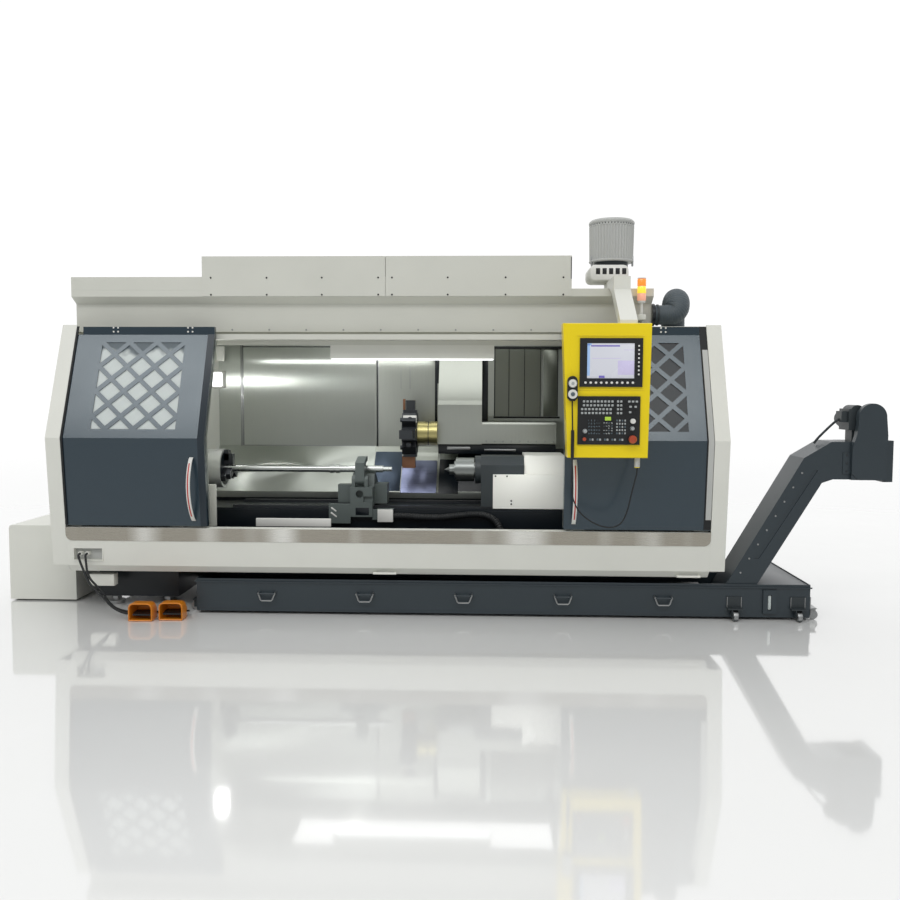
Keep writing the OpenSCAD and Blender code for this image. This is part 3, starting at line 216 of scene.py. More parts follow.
mats = {
    # Off-white satin powder coat, slightly warm, soft highlights.
    "whitePaint": paint("powderCoatWhite", "#E2E3DB", 0.42, coat=0.1),
    # The same coat on the header, painted a little greyer as painted shade, for the header gets less light.
    "headerPaintedShade": paint("powderCoatHeaderPaintedShade", "#D3D4CB", 0.42, coat=0.1),
    # Dark blue-grey powder coat with a fine texture and a satin sheen that pales it where it faces up.
    "slatePaint": paint("powderCoatSlate", "#1F2F3A", 0.23, coat=0.45, gleam="#DAE8EE"),
    # Darker slate of the folded door edge.
    "slateEdge": paint("powderCoatEdge", "#1D2932", 0.36, peel=0.06),
    # Deeper slate on the tank and conveyor.
    "tankPaint": paint("powderCoatTank", "#2F393F", 0.36, peel=0.06, coat=0.1),
    # Bright safety yellow, smooth and a little glossy.
    "yellowPaint": paint("powderCoatYellow", "#F5DA02", 0.32, coat=0.15),
    # Hammered orange enamel of the foot switches.
    "orangePaint": paint("enamelOrange", "#D9831A", 0.35, peel=0.2, coat=0.3),
    # Mid-grey machine enamel.
    "greyPaint": paint("enamelGrey", "#B9BBB8", 0.4),
    # Silver-grey enamel on the filter can's own solid.
    "silverPaint": paint("enamelSilver", "#C6C8C5", 0.28, coat=0.3),
    # Grey enamel of the steady rest.
    "castPaint": paint("enamelOnCasting", "#5B6462", 0.42, peel=0.25, tone=0.1),
    # Dark enamel of the tailstock body.
    "darkPaint": paint("enamelDark", "#30373A", 0.4, peel=0.2, tone=0.1),
    # Oily blue-black deep in the work zone and under the cabinet, made near-black as painted shade.
    "oilyBlackPaintedShade": paint("oilyBlackPaintedShade", "#0D151B", 0.3, peel=0.2, tone=0.2),
    # Near-black engineering steel, oiled.
    "darkSteel": brushed("oiledSteel", "#46494C", 0.38, "x", metal=0.8),
    # Stainless sheet with upright hair lines, bright and cloudy, lamps smear sideways on it.
    "stainlessUp": brushed("stainlessSheetUp", "#C6CBC4", 0.36, "z", spread=1.0),
    # Scratched stainless box of the carriage.
    "stainlessBox": brushed("stainlessScratched", "#B4B8B0", 0.34, "z", tone=0.2),
    # Stainless sheet with lengthwise hair lines, tinted warm as a painted reflection of the floor below,
    # with pale upright bands of painted highlight.
    "stainlessLong": brushed("stainlessSheetLong", "#ACA79C", 0.26, "x", paintedHighlight=0.9),
    # Grey-green sheet of the telescopic plates.
    "coverSteel": brushed("coverSheet", "#868A81", 0.34, "z", spread=0.6),
    # Ground and turned steel.
    "groundSteel": brushed("groundSteel", "#C6CAC7", 0.25, "y"),
    # Ground side of the chuck, paler than the bar.
    "chuckSteel": brushed("groundChuck", "#D6D9D6", 0.3, "y", metal=0.65),
    # Dull grey turned steel of the quill's centre.
    "quillSteel": brushed("quillSteel", "#8D918F", 0.32, "y"),
    # White enamel of the tailstock's covers, painted brighter than the other white parts as painted light.
    "whitePaintedLight": paint("powderCoatPaintedLight", "#F2F3EC", 0.4, coat=0.1),
    # Zinc plate, dull grey.
    "zinc": brushed("zincPlate", "#A9ABAB", 0.38, "z"),
    # Polished chrome tube.
    "chrome": brushed("polishedChrome", "#E4E6E8", 0.12, "z", tone=0.03),
    # Pale greenish-gold turned housing.
    "gold": brushed("turnedBrass", "#B9B07A", 0.32, "y"),
    # Brown burnt tool steel.
    "brown": brushed("burntToolSteel", "#8A6248", 0.45, "y", metal=0.4),
    # Black moulded plastic with a fine grain.
    "blackPlastic": paint("mouldedPlasticBlack", "#141618", 0.45, peel=0.15),
    # Matt black rubber.
    "rubber": paint("rubberBlack", "#15181A", 0.6, peel=0.2),
    # Slate-grey coated fabric hose.
    "hoseFabric": paint("coatedFabric", "#4C565C", 0.5, peel=0.3, tone=0.12),
    # Grey moulded keys.
    "greyKey": paint("mouldedKeyGrey", "#A9AEAE", 0.45),
    # Slate-grey moulded keys.
    "darkKey": paint("mouldedKeyDark", "#56646C", 0.45),
    # Lime-green moulded key.
    "greenKey": paint("mouldedKeyGreen", "#B9E04A", 0.4),
    # Satin off-white moulded plastic.
    "whitePlastic": paint("mouldedPlasticWhite", "#E4E4DF", 0.4),
    # Orange-red gloss plastic of the stop button, and the signal red of the handle lines.
    "red": paint("mouldedPlasticRed", "#AE4322", 0.3, coat=0.4),
    "signalRed": paint("inlayRed", "#B8352E", 0.35),
    # Lens plastics, lit a little from inside.
    "lensPale": paint("lensPaleOrange", "#E8A58A", 0.2, glow=0.45, coat=0.5),
    "lensYellow": paint("lensYellow", "#F7C93A", 0.2, glow=0.8, coat=0.5),
    "lensOrange": paint("lensOrange", "#F08A2E", 0.2, glow=0.6, coat=0.5),
    # Polycarbonate panes: pale as painted light where the lit inside shows through, dark as painted shade on the
    # far side.
    "paneLit": pane("polycarbonateLit", "#C6CECC", "#4A585F", 1676, 1716),
    "paneDark": pane("polycarbonateDark", "#1F282D", "#161D22", 1500, 1790),
    # Frosted lamp cover, glowing white.
    "lamp": paint("frostedLamp", "#F4F7F7", 0.5, glow=2.2),
    # Screen colours: pale lavender page, violet title line, light blue edge.
    "screenPale": paint("screenPale", "#D2D4DD", 0.25, glow=0.16, tone=0.06),
    "screenBlue": paint("screenBlue", "#9DBDE6", 0.25, glow=0.2),
    "screenDark": paint("screenDark", "#6F66B4", 0.25, glow=0.25),
    "screenPatch": paint("screenPatch", "#CBC4E4", 0.25, glow=0.16),
    # Blue-violet sheen of the sloped plates.
    "bluePlate": brushed("heatBluedPlate", "#8A90AE", 0.3, "x", metal=0.8),
    # Darker blue-grey sheet beside them.
    "blueDark": brushed("blueDarkPlate", "#4D5867", 0.32, "x", metal=0.8),
}
look = {
    "whitePaint": ["headstock", "left_end_panel", "right_end_panel", "front_sill", "rear_panel", "motor_cover",
                   "pendant_arm", "work_lamps"],
    "headerPaintedShade": ["header"],
    "whitePaintedLight": ["tailstock_covers"],
    "slatePaint": ["left_door", "right_door"],
    "tankPaint": ["coolant_tank", "conveyor_trunk", "conveyor_head", "sight_glass"],
    "castPaint": ["steady_rest", "steady_arm"],
    "darkPaint": ["tailstock", "conveyor_motor", "tank_casters"],
    "oilyBlackPaintedShade": ["bed_casting", "chip_trough"],
    "darkSteel": ["turret_disc", "guide_rails"],
    "zinc": ["levelling_feet"],
    "groundSteel": ["workpiece"],
    "chuckSteel": ["chuck"],
    "quillSteel": ["quill"],
    "stainlessUp": ["back_guard", "way_cover_left", "left_inner_leaf", "right_inner_leaf"],
    "stainlessBox": ["carriage_cover"],
    "stainlessLong": ["sill_plate"],
    "coverSteel": ["way_cover_right_1", "way_cover_right_2", "way_cover_right_3"],
    "silverPaint": ["mist_collector"],
    "hoseFabric": ["exhaust_duct"],
    "rubber": ["steady_hose", "left_pedal_cord", "right_pedal_cord", "pulse_cord"],
    "lensOrange": ["beacon"],
    "orangePaint": ["pedal_guards"],
    "blackPlastic": ["left_pedal", "right_pedal", "screen_unit", "keypad", "pulse_pendant"],
    "paneLit": ["left_pane"],
    "paneDark": ["right_pane"],
    "chrome": ["left_door_handle", "right_door_handle"],
    "gold": ["turret_body"],
    "yellowPaint": ["panel_housing"],
    "red": ["estop_button"],
    "whitePlastic": ["feed_knob", "pulse_dial"],
}
for key, names in look.items():
    for n in names:
        nodes[n].data.materials.clear()
        nodes[n].data.materials.append(mats[key])
print("stage: materials")


# A mesh from points and faces, smooth except where faces meet at more than 35 degrees.
def piece(name, points, faces, material, body, instead=()):
    mesh = bpy.data.meshes.new(name)
    mesh.from_pydata([tuple(p) for p in points], [], faces)
    mesh.shade_smooth()
    mesh.set_sharp_from_angle(angle=math.radians(35))
    mesh.update()
    made = bpy.data.objects.new(name, mesh)
    bpy.context.scene.collection.objects.link(made)
    mesh.materials.append(mats[material])
    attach(made, body)
    if instead:
        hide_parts(*instead)
    return made


# Faces of a grid of rows and columns whose columns close on themselves, with a cap at each end.
def gridFaces(rows, cols, start=0):
    faces = []
    for i in range(rows - 1):
        for k in range(cols):
            a, b = start + i * cols + k, start + i * cols + (k + 1) % cols
            faces.append((a, b, b + cols, a + cols))
    faces.append(tuple(start + k for k in range(cols))[::-1])
    faces.append(tuple(start + (rows - 1) * cols + k for k in range(cols)))
    return faces


def across(axis):
    axis = np.array(axis, float) / np.linalg.norm(axis)
    ref = np.array([0, 0, 1.0]) if abs(axis[2]) < 0.9 else np.array([1.0, 0, 0])
    u = np.cross(ref, axis)
    u /= np.linalg.norm(u)
    return axis, u, np.cross(axis, u)


# Surfaces of revolution: each profile point gives radius and height along the axis, turned once round; one per place.
def turned(name, profile, places, material, body, sides=24, instead=(), ripple=None):
    points, faces = [], []
    angle = np.linspace(0, 2 * math.pi, sides, endpoint=False)
    for centre, axis in places:
        a, u, v = across(axis)
        start = len(points)
        for r, h in profile:
            rr = r + (ripple(angle, h) if ripple else 0 * angle)
            spoke = np.cos(angle)[:, None] * u + np.sin(angle)[:, None] * v
            points += list(at(*centre) + (h / 1000) * a + (rr / 1000)[:, None] * spoke)
        faces += gridFaces(len(profile), sides, start)
    return piece(name, points, faces, material, body, instead)


# Rounded plates and keys: a rounded rectangle drawn from its back to its front, drawn in at the front edge.
def plates(name, items, material, body, edge=1.5, corner=3.0, instead=(), axes=upright):
    points, faces = [], []
    u, v, w = (np.array(k, float) for k in axes)
    for (x, y, z), (width, height, depth) in items:
        start = len(points)
        for grow, out in ((0, 0), (0, depth - edge), (-0.5 * edge, depth - 0.3 * edge), (-edge, depth)):
            r = max(0.2, min(corner, width / 2 - 0.1, height / 2 - 0.1) + grow)
            hw, hh = width / 2 + grow - r, height / 2 + grow - r
            for cxs, czs, a0 in ((1, 1, 0), (-1, 1, 90), (-1, -1, 180), (1, -1, 270)):
                for k in range(4):
                    t = math.radians(a0 + 30 * k)
                    side, rise = cxs * hw + r * math.cos(t), czs * hh + r * math.sin(t)
                    points.append(at(x, y, z) + (side * u + rise * v + out * w) / 1000)
        faces += gridFaces(4, 16, start)
    return piece(name, points, faces, material, body, instead)


# Smooth line through given points: a Catmull-Rom curve, with a number of steps between neighbours.
def smoothLine(points, steps):
    p = np.array(points, float)
    p = np.vstack([p[:1], p, p[-1:]])
    line = []
    for i in range(1, len(p) - 2):
        a, b, c, d = p[i - 1:i + 3]
        for t in np.arange(steps) / steps:
            straight = 2 * b + (c - a) * t
            square = (2 * a - 5 * b + 4 * c - d) * t ** 2
            cube = (3 * b - a - 3 * c + d) * t ** 3
            line.append(0.5 * (straight + square + cube))
    return np.vstack([line, p[-2]])


# Tube along a line: rings stand square to it and keep from twisting; the radius may change along its length.
def tubePoints(line, radius, sides):
    tangent = np.gradient(line, axis=0)
    tangent /= np.linalg.norm(tangent, axis=1)[:, None]
    u = across(tangent[0])[1]
    angle = np.linspace(0, 2 * math.pi, sides, endpoint=False)
    points = []
    for i, t in enumerate(tangent):
        u = u - (u @ t) * t
        u /= np.linalg.norm(u)
        v = np.cross(t, u)
        r = radius[i] if hasattr(radius, "__len__") else radius
        points += list(line[i] + r * (np.cos(angle)[:, None] * u + np.sin(angle)[:, None] * v))
    return points


# Cords and hose: the same routes as the solids, drawn with finer rings.
cords = {
    "leftPedalCord": {"node": "left_pedal_cord", "body": "machine", "radius": 7, "lay": "loose", "route": [
        (-1969, 59, 390), (-1966, 30, 382), (-1946, 12, 341), (-1912, -8, 282), (-1872, -30, 221), (-1812, -48, 166),
        (-1755, -60, 115), (-1706, -68, 71), (-1655, -73, 46), (-1620, -75, 38), (-1587.5, -75, 38)]},
    "rightPedalCord": {"node": "right_pedal_cord", "body": "machine", "radius": 7, "lay": "loose", "route": [
        (-1923, 59, 390), (-1920, 30, 382), (-1910, 14, 341), (-1896, -2, 288), (-1870, -18, 242), (-1829, -28, 203),
        (-1782, -36, 157), (-1748, -38, 104), (-1703, -25, 57), (-1655, 0, 33), (-1600, 36, 18), (-1520, 62, 12),
        (-1420, 76, 12), (-1352, 82, 20), (-1326, 78, 34), (-1322, 68, 40), (-1322, 50.5, 40)]},
    "pulseCord": {"node": "pulse_cord", "body": "operator_panel", "radius": 4, "lay": "hanging", "route": [
        (1153, -217, 1386.7), (1154, -217, 1330), (1157, -217, 1214), (1158, -218, 1046), (1158, -216, 860),
        (1178, -214, 770), (1228, -210, 700), (1306, -206, 650), (1390, -200, 630), (1455, -192, 655),
        (1492, -184, 725), (1516, -175, 820), (1534, -167, 890), (1548, -158, 940), (1552, -157, 964),
        (1552, -157, 987.5)]},
    "steadyHose": {"node": "steady_hose", "body": "machine", "radius": 24, "lay": "loose", "corrugation": 16, "route": [
        (21.4, 444, 596), (60, 444, 596), (120, 444, 595), (220, 442, 589), (340, 440, 590), (460, 442, 602),
        (560, 444, 612), (640, 442, 606), (700, 434, 580), (735, 418, 540), (748, 404, 490), (750, 400, 448)]},
}
cordDraw = {"steps": 8, "hoseSteps": 24, "ripple": 0.0016, "sides": 16}
for name, c in cords.items():
    pitch = c.get("corrugation")
    line = smoothLine(spots(c["route"]), cordDraw["hoseSteps"] if pitch else cordDraw["steps"])
    run = np.concatenate([[0], np.cumsum(np.linalg.norm(np.diff(line, axis=0), axis=1))])
    radius = c["radius"] / 1000 * np.ones(len(line))
    if pitch:
        radius = radius - cordDraw["ripple"] + cordDraw["ripple"] * np.cos(2 * math.pi * run * 1000 / pitch)
    sides = cordDraw["sides"]
    tube = piece(name, tubePoints(line, radius, sides), gridFaces(len(line), sides), "rubber", c["body"],
                 [c["node"]])
print("stage: cords")

# Door handles: a slim oval bar that follows the lean of the door and bows out from it by the sine of its length, made
# fuller by a power below one; a red line runs down its front.
handles = {"low": 610, "rise": 410, "out": 92, "left": -1219, "right": 1197, "half": (13, 8), "skin": 12,
           "fullness": 0.7, "rings": 49, "sides": 16, "firstRed": 4, "lastRed": 45}
halfX, halfY = handles["half"]
for side in ("left", "right"):
    t = np.linspace(0, 1, handles["rings"])
    z = handles["low"] + handles["rise"] * t
    lowY, highY = frontY(handles["low"]), frontY(handles["low"] + handles["rise"])
    door = handles["skin"] + lowY + (highY - lowY) * t
    y = door - handles["out"] * np.abs(np.sin(math.pi * t)) ** handles["fullness"]
    y[0], y[-1] = door[0] - 0.5, door[-1] - 0.5
    line = spots([(handles[side], y[i], z[i]) for i in range(handles["rings"])])
    points = []
    for p in line:
        for a in np.linspace(0, 2 * math.pi, handles["sides"], endpoint=False):
            points.append(p + np.array([halfX * math.cos(a), halfY * math.sin(a), 0]) / 1000)
    piece(side + "HandleBar", points, gridFaces(handles["rings"], handles["sides"]), "whitePlastic", side + "_door",
          [side + "_door_handle"])
    stripe = []
    for p in line[handles["firstRed"]:handles["lastRed"]]:
        for dx, dy in ((-4, -8.4), (4, -8.4), (4, -6), (-4, -6)):
            stripe.append(p + np.array([dx, dy, 0]) / 1000)
    piece(side + "HandleStripe", stripe, gridFaces(handles["lastRed"] - handles["firstRed"], 4), "signalRed",
          side + "_door")
print("stage: handles")

# Mist collector: canister whose radius waves in and out round the axis, a flat domed lid over a ring of dark slots, a
# dark neck and a small fan housing with vents.
mist = {"x": 1486, "y": 600, "r": 146, "ribs": 44, "low": 2322, "high": 2552, "slotRing": 147.5}
mistSpot = [((mist["x"], mist["y"], 0), axisUp)]
canHeight = mist["high"] - mist["low"]
canSide = [(mist["r"] + 4 * t, mist["low"] + canHeight * t) for t in np.linspace(0, 1, 8)]
turned("mistRibs", canSide, mistSpot, "greyPaint", "machine", 352, ["mist_collector"],
       lambda a, h: -3.5 + 3.5 * np.cos(mist["ribs"] * a))
lidSide = [(0, 2566), (151, 2566), (153, 2570), (152, 2580), (140, 2592), (90, 2600), (30, 2604), (0, 2604.5)]
turned("mistLid", lidSide, mistSpot, "greyPaint", "machine", 64)
turned("mistBand", [(0, 2548), (148, 2548), (148, 2568), (0, 2568)], mistSpot, "greyPaint", "machine", 64)
slotItems = []
for a in [math.radians(8 * k) for k in range(45)]:
    x, y = mist["x"] + mist["slotRing"] * math.sin(a), mist["y"] - mist["slotRing"] * math.cos(a)
    slotItems.append(((x, y, 2558), (math.sin(a), -math.cos(a), 0)))
turned("mistSlots", [(0, 0), (4, 0), (4, 1.4), (0, 1.5)], slotItems, "blackPlastic", "machine", 8)
turned("mistRim", [(0, 2312), (146, 2312), (149, 2315), (149, 2322), (146, 2326), (0, 2326)], mistSpot, "greyPaint",
       "machine", 64)
turned("mistNeck", [(0, 2262), (112, 2262), (112, 2314), (0, 2314)], mistSpot, "darkPaint", "machine", 48)
plates("mistFan", [((mist["x"] - 32, mist["y"] + 110, 2229), (256, 104, 260))], "whitePlastic", "machine", edge=8,
       corner=34)
plates("mistFoot", [((1500, mist["y"] + 100, 2155), (92, 94, 200))], "whitePaint", "machine", edge=2, corner=4)
plates("mistVents", [((mist["x"] - 106 + 43 * k, mist["y"] - 149.5, 2238), (28, 40, 1)) for k in range(5)],
       "blackPlastic", "machine", edge=0.4, corner=2)
plates("mistLatch", [((mist["x"] + s * 136, mist["y"] - 40, 2318), (12, 70, 12)) for s in (-1, 1)], "zinc", "machine",
       edge=2, corner=3)
print("stage: mist collector")

# Extraction hose: a wide coated tube with fine ripples along its length, out of the header's end, then up and back.
duct = {"route": [(1752, 450, 1950), (1800, 450, 1950), (1848, 451, 1951), (1884, 456, 1962), (1906, 470, 1992),
                  (1915, 494, 2030), (1917, 532, 2052), (1917, 585, 2055), (1917, 625, 2030), (1917, 640, 1975),
                  (1917, 640, 1873)],
        "pitch": 11, "ripple": 0.9, "radius": 65, "growth": 14, "growFrom": 70, "growOver": 110}
line = smoothLine(spots(duct["route"]), 28)
run = np.concatenate([[0], np.cumsum(np.linalg.norm(np.diff(line, axis=0), axis=1))]) * 1000
grow = np.clip((run - duct["growFrom"]) / duct["growOver"], 0, 1)
radius = duct["radius"] + duct["growth"] * grow - duct["ripple"]
radius = (radius + duct["ripple"] * np.cos(2 * math.pi * run / duct["pitch"])) / 1000
piece("ductHose", tubePoints(line, radius, 48), gridFaces(len(line), 48), "hoseFabric", "machine",
      ["exhaust_duct"])
turned("ductFlange", [(0, 0), (74, 0), (74, 18), (68, 22), (0, 22)], [((1731.3, 450, 1950), rightward)], "oilyBlackPaintedShade",
       "machine", 40)
turned("ductClamp", [(0, 0), (69, 0), (70, 2), (70, 10), (69, 12), (0, 12)], [((1766, 450, 1950), rightward)],
       "darkPaint", "machine", 40)

# Signal lamp: three lenses with rounded shoulders on a pale base and a thin post.
beacon = {"x": 1642, "y": 300, "low": 2028, "step": 47}
beaconSpot = [((beacon["x"], beacon["y"], 0), axisUp)]
for i, lens in enumerate(("lensPale", "lensYellow", "lensOrange")):
    z = beacon["low"] + beacon["step"] * i
    turned("beaconLens" + str(i), [(0, z), (27, z), (28, z + 3), (28, z + 41), (26, z + 44), (0, z + 44)],
           beaconSpot, lens, "machine", 32, ["beacon"] if i == 0 else ())
turned("beaconCap", [(0, 2168), (27, 2168), (28, 2171), (26, 2175), (0, 2176)], beaconSpot, "whitePlastic", "machine",
       32)
turned("beaconRings", [(0, -4), (25, -4), (25, 1), (0, 1)],
       [((beacon["x"], beacon["y"], beacon["low"] + beacon["step"] * k), axisUp) for k in range(3)], "whitePlastic",
       "machine", 32)
turned("beaconPost", [(0, 1930), (10, 1930), (10, 2012), (24, 2016), (24, 2026), (0, 2026)],
       beaconSpot, "whitePlastic", "machine", 24)
plates("beaconFoot", [((beacon["x"], 419.5, 1922), (52, 35, 146))], "whitePaint", "machine", edge=3, corner=5)
print("stage: roof pieces")

# Operator panel: keys, knobs and the picture on the screen, all raised from the panel face.
face = -200
keyBack, softBack, knobBack, pictureBack, markBack = face - 9.5, face - 11, face - 10, face - 8, face - 8.6
keys = {"grey": [], "dark": [], "green": []}
for j in range(4):
    for i in range(9):
        keys["grey"].append(((1213 + 21 * i + (10 if j > 1 else 0), keyBack, 1316 + 23 * j), (14, 13, 5)))
    for i in range(2):
        keys["grey"].append(((1424 + 19 * i, keyBack, 1316 + 23 * j), (13, 13, 5)))
for x, z in ((1490, 1385), (1512, 1385), (1534, 1385), (1498, 1354), (1528, 1354), (1496, 1322)):
    keys["grey"].append(((x, keyBack, z), (15, 12, 5)))
for j in range(5):
    for i in range(5):
        keys["dark"].append(((1255 + 15 * i, keyBack, 1196 + 19 * j), (10, 11, 4)))
    for i in range(4):
        keys["grey" if (i + j) % 3 else "dark"].append(((1344 + 15 * i, keyBack, 1196 + 15 * j), (10, 9, 4)))
    for i in range(4):
        keys["grey" if (2 * i + j) % 4 else "dark"].append(((1420 + 16 * i, keyBack, 1196 + 19 * j), (9, 11, 4)))
for b in range(5):
    for i in range(2):
        keys["grey" if i else "dark"].append(((1262 + 44 * b + 15 * i, keyBack, 1158), (11, 13, 4)))
keys["green"].append(((1366, keyBack, 1283), (36, 22, 6)))
for tone, material in (("grey", "greyKey"), ("dark", "darkKey"), ("green", "greenKey")):
    plates(tone + "Keys", keys[tone], material, "operator_panel", corner=2.5, edge=1)
softKeys = [((1230 + 31 * k, softBack, 1496), (15, 14, 6)) for k in range(10)]
softKeys += [((1542, softBack, 1545 + 24 * k), (12, 12, 6)) for k in range(8)]
plates("softKeys", softKeys, "whitePlastic", "operator_panel", corner=6)
picture = {"screenPale": [((1378, pictureBack, 1625.5), (278, 207, 0.6))],
           "screenBlue": [((1247, markBack, 1630), (16, 186, 0.5)), ((1252, markBack, 1722), (24, 12, 0.5))],
           "screenDark": [((1346, markBack, 1713), (170, 8, 0.5)), ((1326, markBack, 1531), (34, 14, 0.5))],
           "screenPatch": [((1468, markBack, 1585), (96, 84, 0.5)), ((1352, markBack, 1640), (170, 3, 0.5)),
                           ((1484, markBack, 1690), (56, 3, 0.5))]}
for material, items in picture.items():
    plates(material + "Picture", items, material, "operator_panel", edge=0.1, corner=1)
knob = [(0, 0), (14, 0), (14, 4), (12, 6), (11, 16), (9, 18), (0, 18)]
turned("panelKnobs", knob, [((1511, knobBack, 1225), forward), ((1231, knobBack, 1208), forward)], "greyKey",
       "operator_panel", 28)
turned("redPush", [(0, 0), (15, 0), (15, 5), (13, 7), (12, 15), (10, 17), (0, 18)], [((1227, knobBack, 1161), forward)],
       "red", "operator_panel", 28)
stopSide = [(0, 18), (18, 18), (18, 40), (24, 44), (24, 54), (21, 60), (12, 61.8), (0, 61.9)]
turned("stopHead", stopSide, [((1508, face, 1162), forward)], "red", "estop", 40, ["estop_button"])
turned("dialFace", [(0, 0), (25, 0), (25, 10), (21, 14), (0, 14)], [((1153, face - 34, 1491), forward)], "whitePlastic",
       "operator_panel", 36)
turned("dialHub", [(0, 0), (9, 0), (9, 4), (7, 6), (0, 6)], [((1153, face - 47, 1491), forward)], "greyKey",
       "operator_panel", 24)
turned("pulseHub", [(0, 0), (12, 0), (12, 5), (9, 7), (0, 7)], [((1153, face - 50, 1428), forward)], "darkKey",
       "pulse_dial", 24)
turned("cordSleeve", [(0, 0), (9, 0), (10, 6), (10, 160), (9, 166), (0, 166)], [((1157.5, -217.5, 1048), axisUp)],
       "blackPlastic", "operator_panel", 20)
turned("plugSleeve", [(0, 0), (14, 0), (17, 6), (17, 59), (0, 59)], [((1552, -157, 988), axisUp)], "greyPaint",
       "operator_panel", 24)
frameLines = [((1376.5, face, 1774), (398, 4, 3)), ((1376.5, face, 1452), (396, 4, 3))]
plates("panelSeams", frameLines, "yellowPaint", "operator_panel", edge=1, corner=1)
print("stage: operator panel")

# Small screws: low domed heads on the sheet work, one mesh for each body and finish.
screw = [(0, 0), (6, 0), (6, 2), (4.5, 3.4), (0, 4)]
coverXs = (-1178, -806, -440, -68, 23, 389, 767, 1143)
apronSpots = ((272, 938, 741), (272, 1028, 831), (272, 1108, 911))
screws = {
    "coverScrews": ("blackPlastic", "machine", [((x, 344, z), forward) for x in coverXs for z in (2185, 2074)]),
    "headerScrews": ("zinc", "machine", [((x, 420, 1850), forward) for x in np.linspace(-2060, 1690, 16)]),
    "leftHangerScrews": ("whitePlastic", "left_door",
                         [((x, 270.4, z), forward) for x in (-1805, -1775, -1310, -1280) for z in (1826, 1852)]),
    "rightHangerScrews": ("whitePlastic", "right_door",
                          [((x, 270.4, z), forward) for x in (1764, 1794) for z in (1826, 1852)]),
    "armScrews": ("zinc", "carriage", [((x, 880, 1082), forward) for x in np.linspace(650, 1130, 9)]),
    "apronScrews": ("blackPlastic", "carriage", [(spot, (0, -1, 1)) for spot in apronSpots]),
    "guardScrews": ("blackPlastic", "machine",
                    [((-1121 + 2 * k, 1218 - 20 * k, 1000 - 20 * k), (0, -0.7, 0.7)) for k in range(4)]),
    "trunkScrews": ("zinc", "machine", [((2262 + 52.5 * k, 112, 300 + 91 * k), forward) for k in range(8)]),
    "flangeScrews": ("darkSteel", "machine", [((2900, 107, z), forward) for z in (950, 1000, 1050)]),
    "coverDots": ("blackPlastic", "tailstock",
                  [((x, 485.9, z), forward) for x, z in ((712, 868), (790, 868), (820, 700), (820, 678))]),
}
for name, (material, body, places) in screws.items():
    turned(name, screw, places, material, body, 12)
chuckAt, chuckRing = (-1174.5, 600, 902), 105
chuckScrew = [(0, 0), (9, 0), (9, 1.5), (5, 1.6), (5, 0.6), (0, 0.6)]
places = []
for a in [math.radians(60 + 120 * k + d) for k in range(3) for d in (-18, 18)]:
    y, z = chuckAt[1] + chuckRing * math.sin(a), chuckAt[2] + chuckRing * math.cos(a)
    places.append(((chuckAt[0], y, z), rightward))
turned("chuckScrews", chuckScrew, places, "blackPlastic", "spindle", 16)
for k in range(3):
    a = math.radians(120 * k)
    out = np.array([0, -math.sin(a), math.cos(a)])
    aside = (0, math.cos(a), math.sin(a))
    jaw = [(tuple(np.array(chuckAt) + r * out), (44.8, h, d)) for r, h, d in ((64, 78.4, 62.5), (91.5, 75.6, 34.5))]
    plates("chuckJaw" + str(k + 1), jaw, "darkSteel", "spindle", edge=2, corner=1, axes=(aside, tuple(out), rightward))
turned("chuckFace", [(117, 0.1), (117, 0.9), (115.6, 1.3)], [(chuckAt, rightward)], "oilyBlackPaintedShade", "spindle", 48)
print("stage: screws")

# Strips: straight bars with rounded edges for seams, wipers, lamp covers, small blocks in the work zone and dark
# sheets of painted shade.
plates("lampCover", [((146, 505, 1659), (1090, 90, 6))], "lamp", "machine", axes=down, edge=2, corner=4)
plates("wallLampCase", [((-1243, 672, 1520), (104, 128, 12))], "whitePlastic", "machine", edge=6, corner=18)
plates("wallLampLens", [((-1243, 661, 1520), (80, 100, 3))], "lamp", "machine", edge=1.5, corner=16)
for k, edge in ((1, 1056), (2, 935), (3, 818)):
    plates("wiper" + str(k), [((edge + 1, 1230 - 4.5 * k + 0.5, 1508.5), (6, 507, 3.5))], "rubber",
           "way_cover_right_" + str(k), edge=0.8, corner=1)
plates("ownWiper", [((712, 1212.5, 1508.5), (8, 507, 3.5))], "rubber", "carriage", edge=0.8, corner=1)
plates("fixedPlate", [((1132, 1229.9, 1508.5), (102, 507, 2.5))], "coverSteel", "machine", edge=0.5, corner=1)
fixedEdges = [((1187, 1229.9, 1508.5), (6, 507, 3)), ((960, 1229.8, 1772), (530, 18, 24)),
              ((955, 1229.8, 1246), (500, 14, 10))]
plates("fixedEdge", fixedEdges, "rubber", "machine", edge=0.5, corner=1)
plates("slotLeft", [((276, 1209, 1415), (32, 640, 3))], "oilyBlackPaintedShade", "carriage", edge=0.5, corner=1)
plates("slotRight", [((640, 1209.5, 1480), (44, 520, 3))], "oilyBlackPaintedShade", "carriage", edge=0.5, corner=1)
coverEdges = [((-1216, 1225.8, 1410), (9, 778, 0.6)), ((-1228, 1229, 1410), (8, 800, 2)),
              ((-705, 1225.8, 1024), (1010, 6, 0.6))]
plates("coverEdges", coverEdges, "zinc", "way_cover_left", edge=0.2, corner=1)
plates("coverTop", [((-705, 1225.8, 1776), (1020, 8, 0.6)), ((-1209.8, 1225.8, 1410), (3, 770, 0.6))], "oilyBlackPaintedShade",
       "way_cover_left", edge=0.2, corner=1)
plates("sheetEdge", [((-181, 1221, 1410), (11, 778, 2.5))], "oilyBlackPaintedShade", "carriage", edge=0.5, corner=1)
sheetMarks = [((-172, 1221, 1410), (5, 778, 3)), ((1, 1221, 1541), (4, 166, 2)), ((70, 1221, 1545), (6, 175, 2))]
plates("sheetMarks", sheetMarks, "zinc", "carriage", edge=0.5, corner=1)
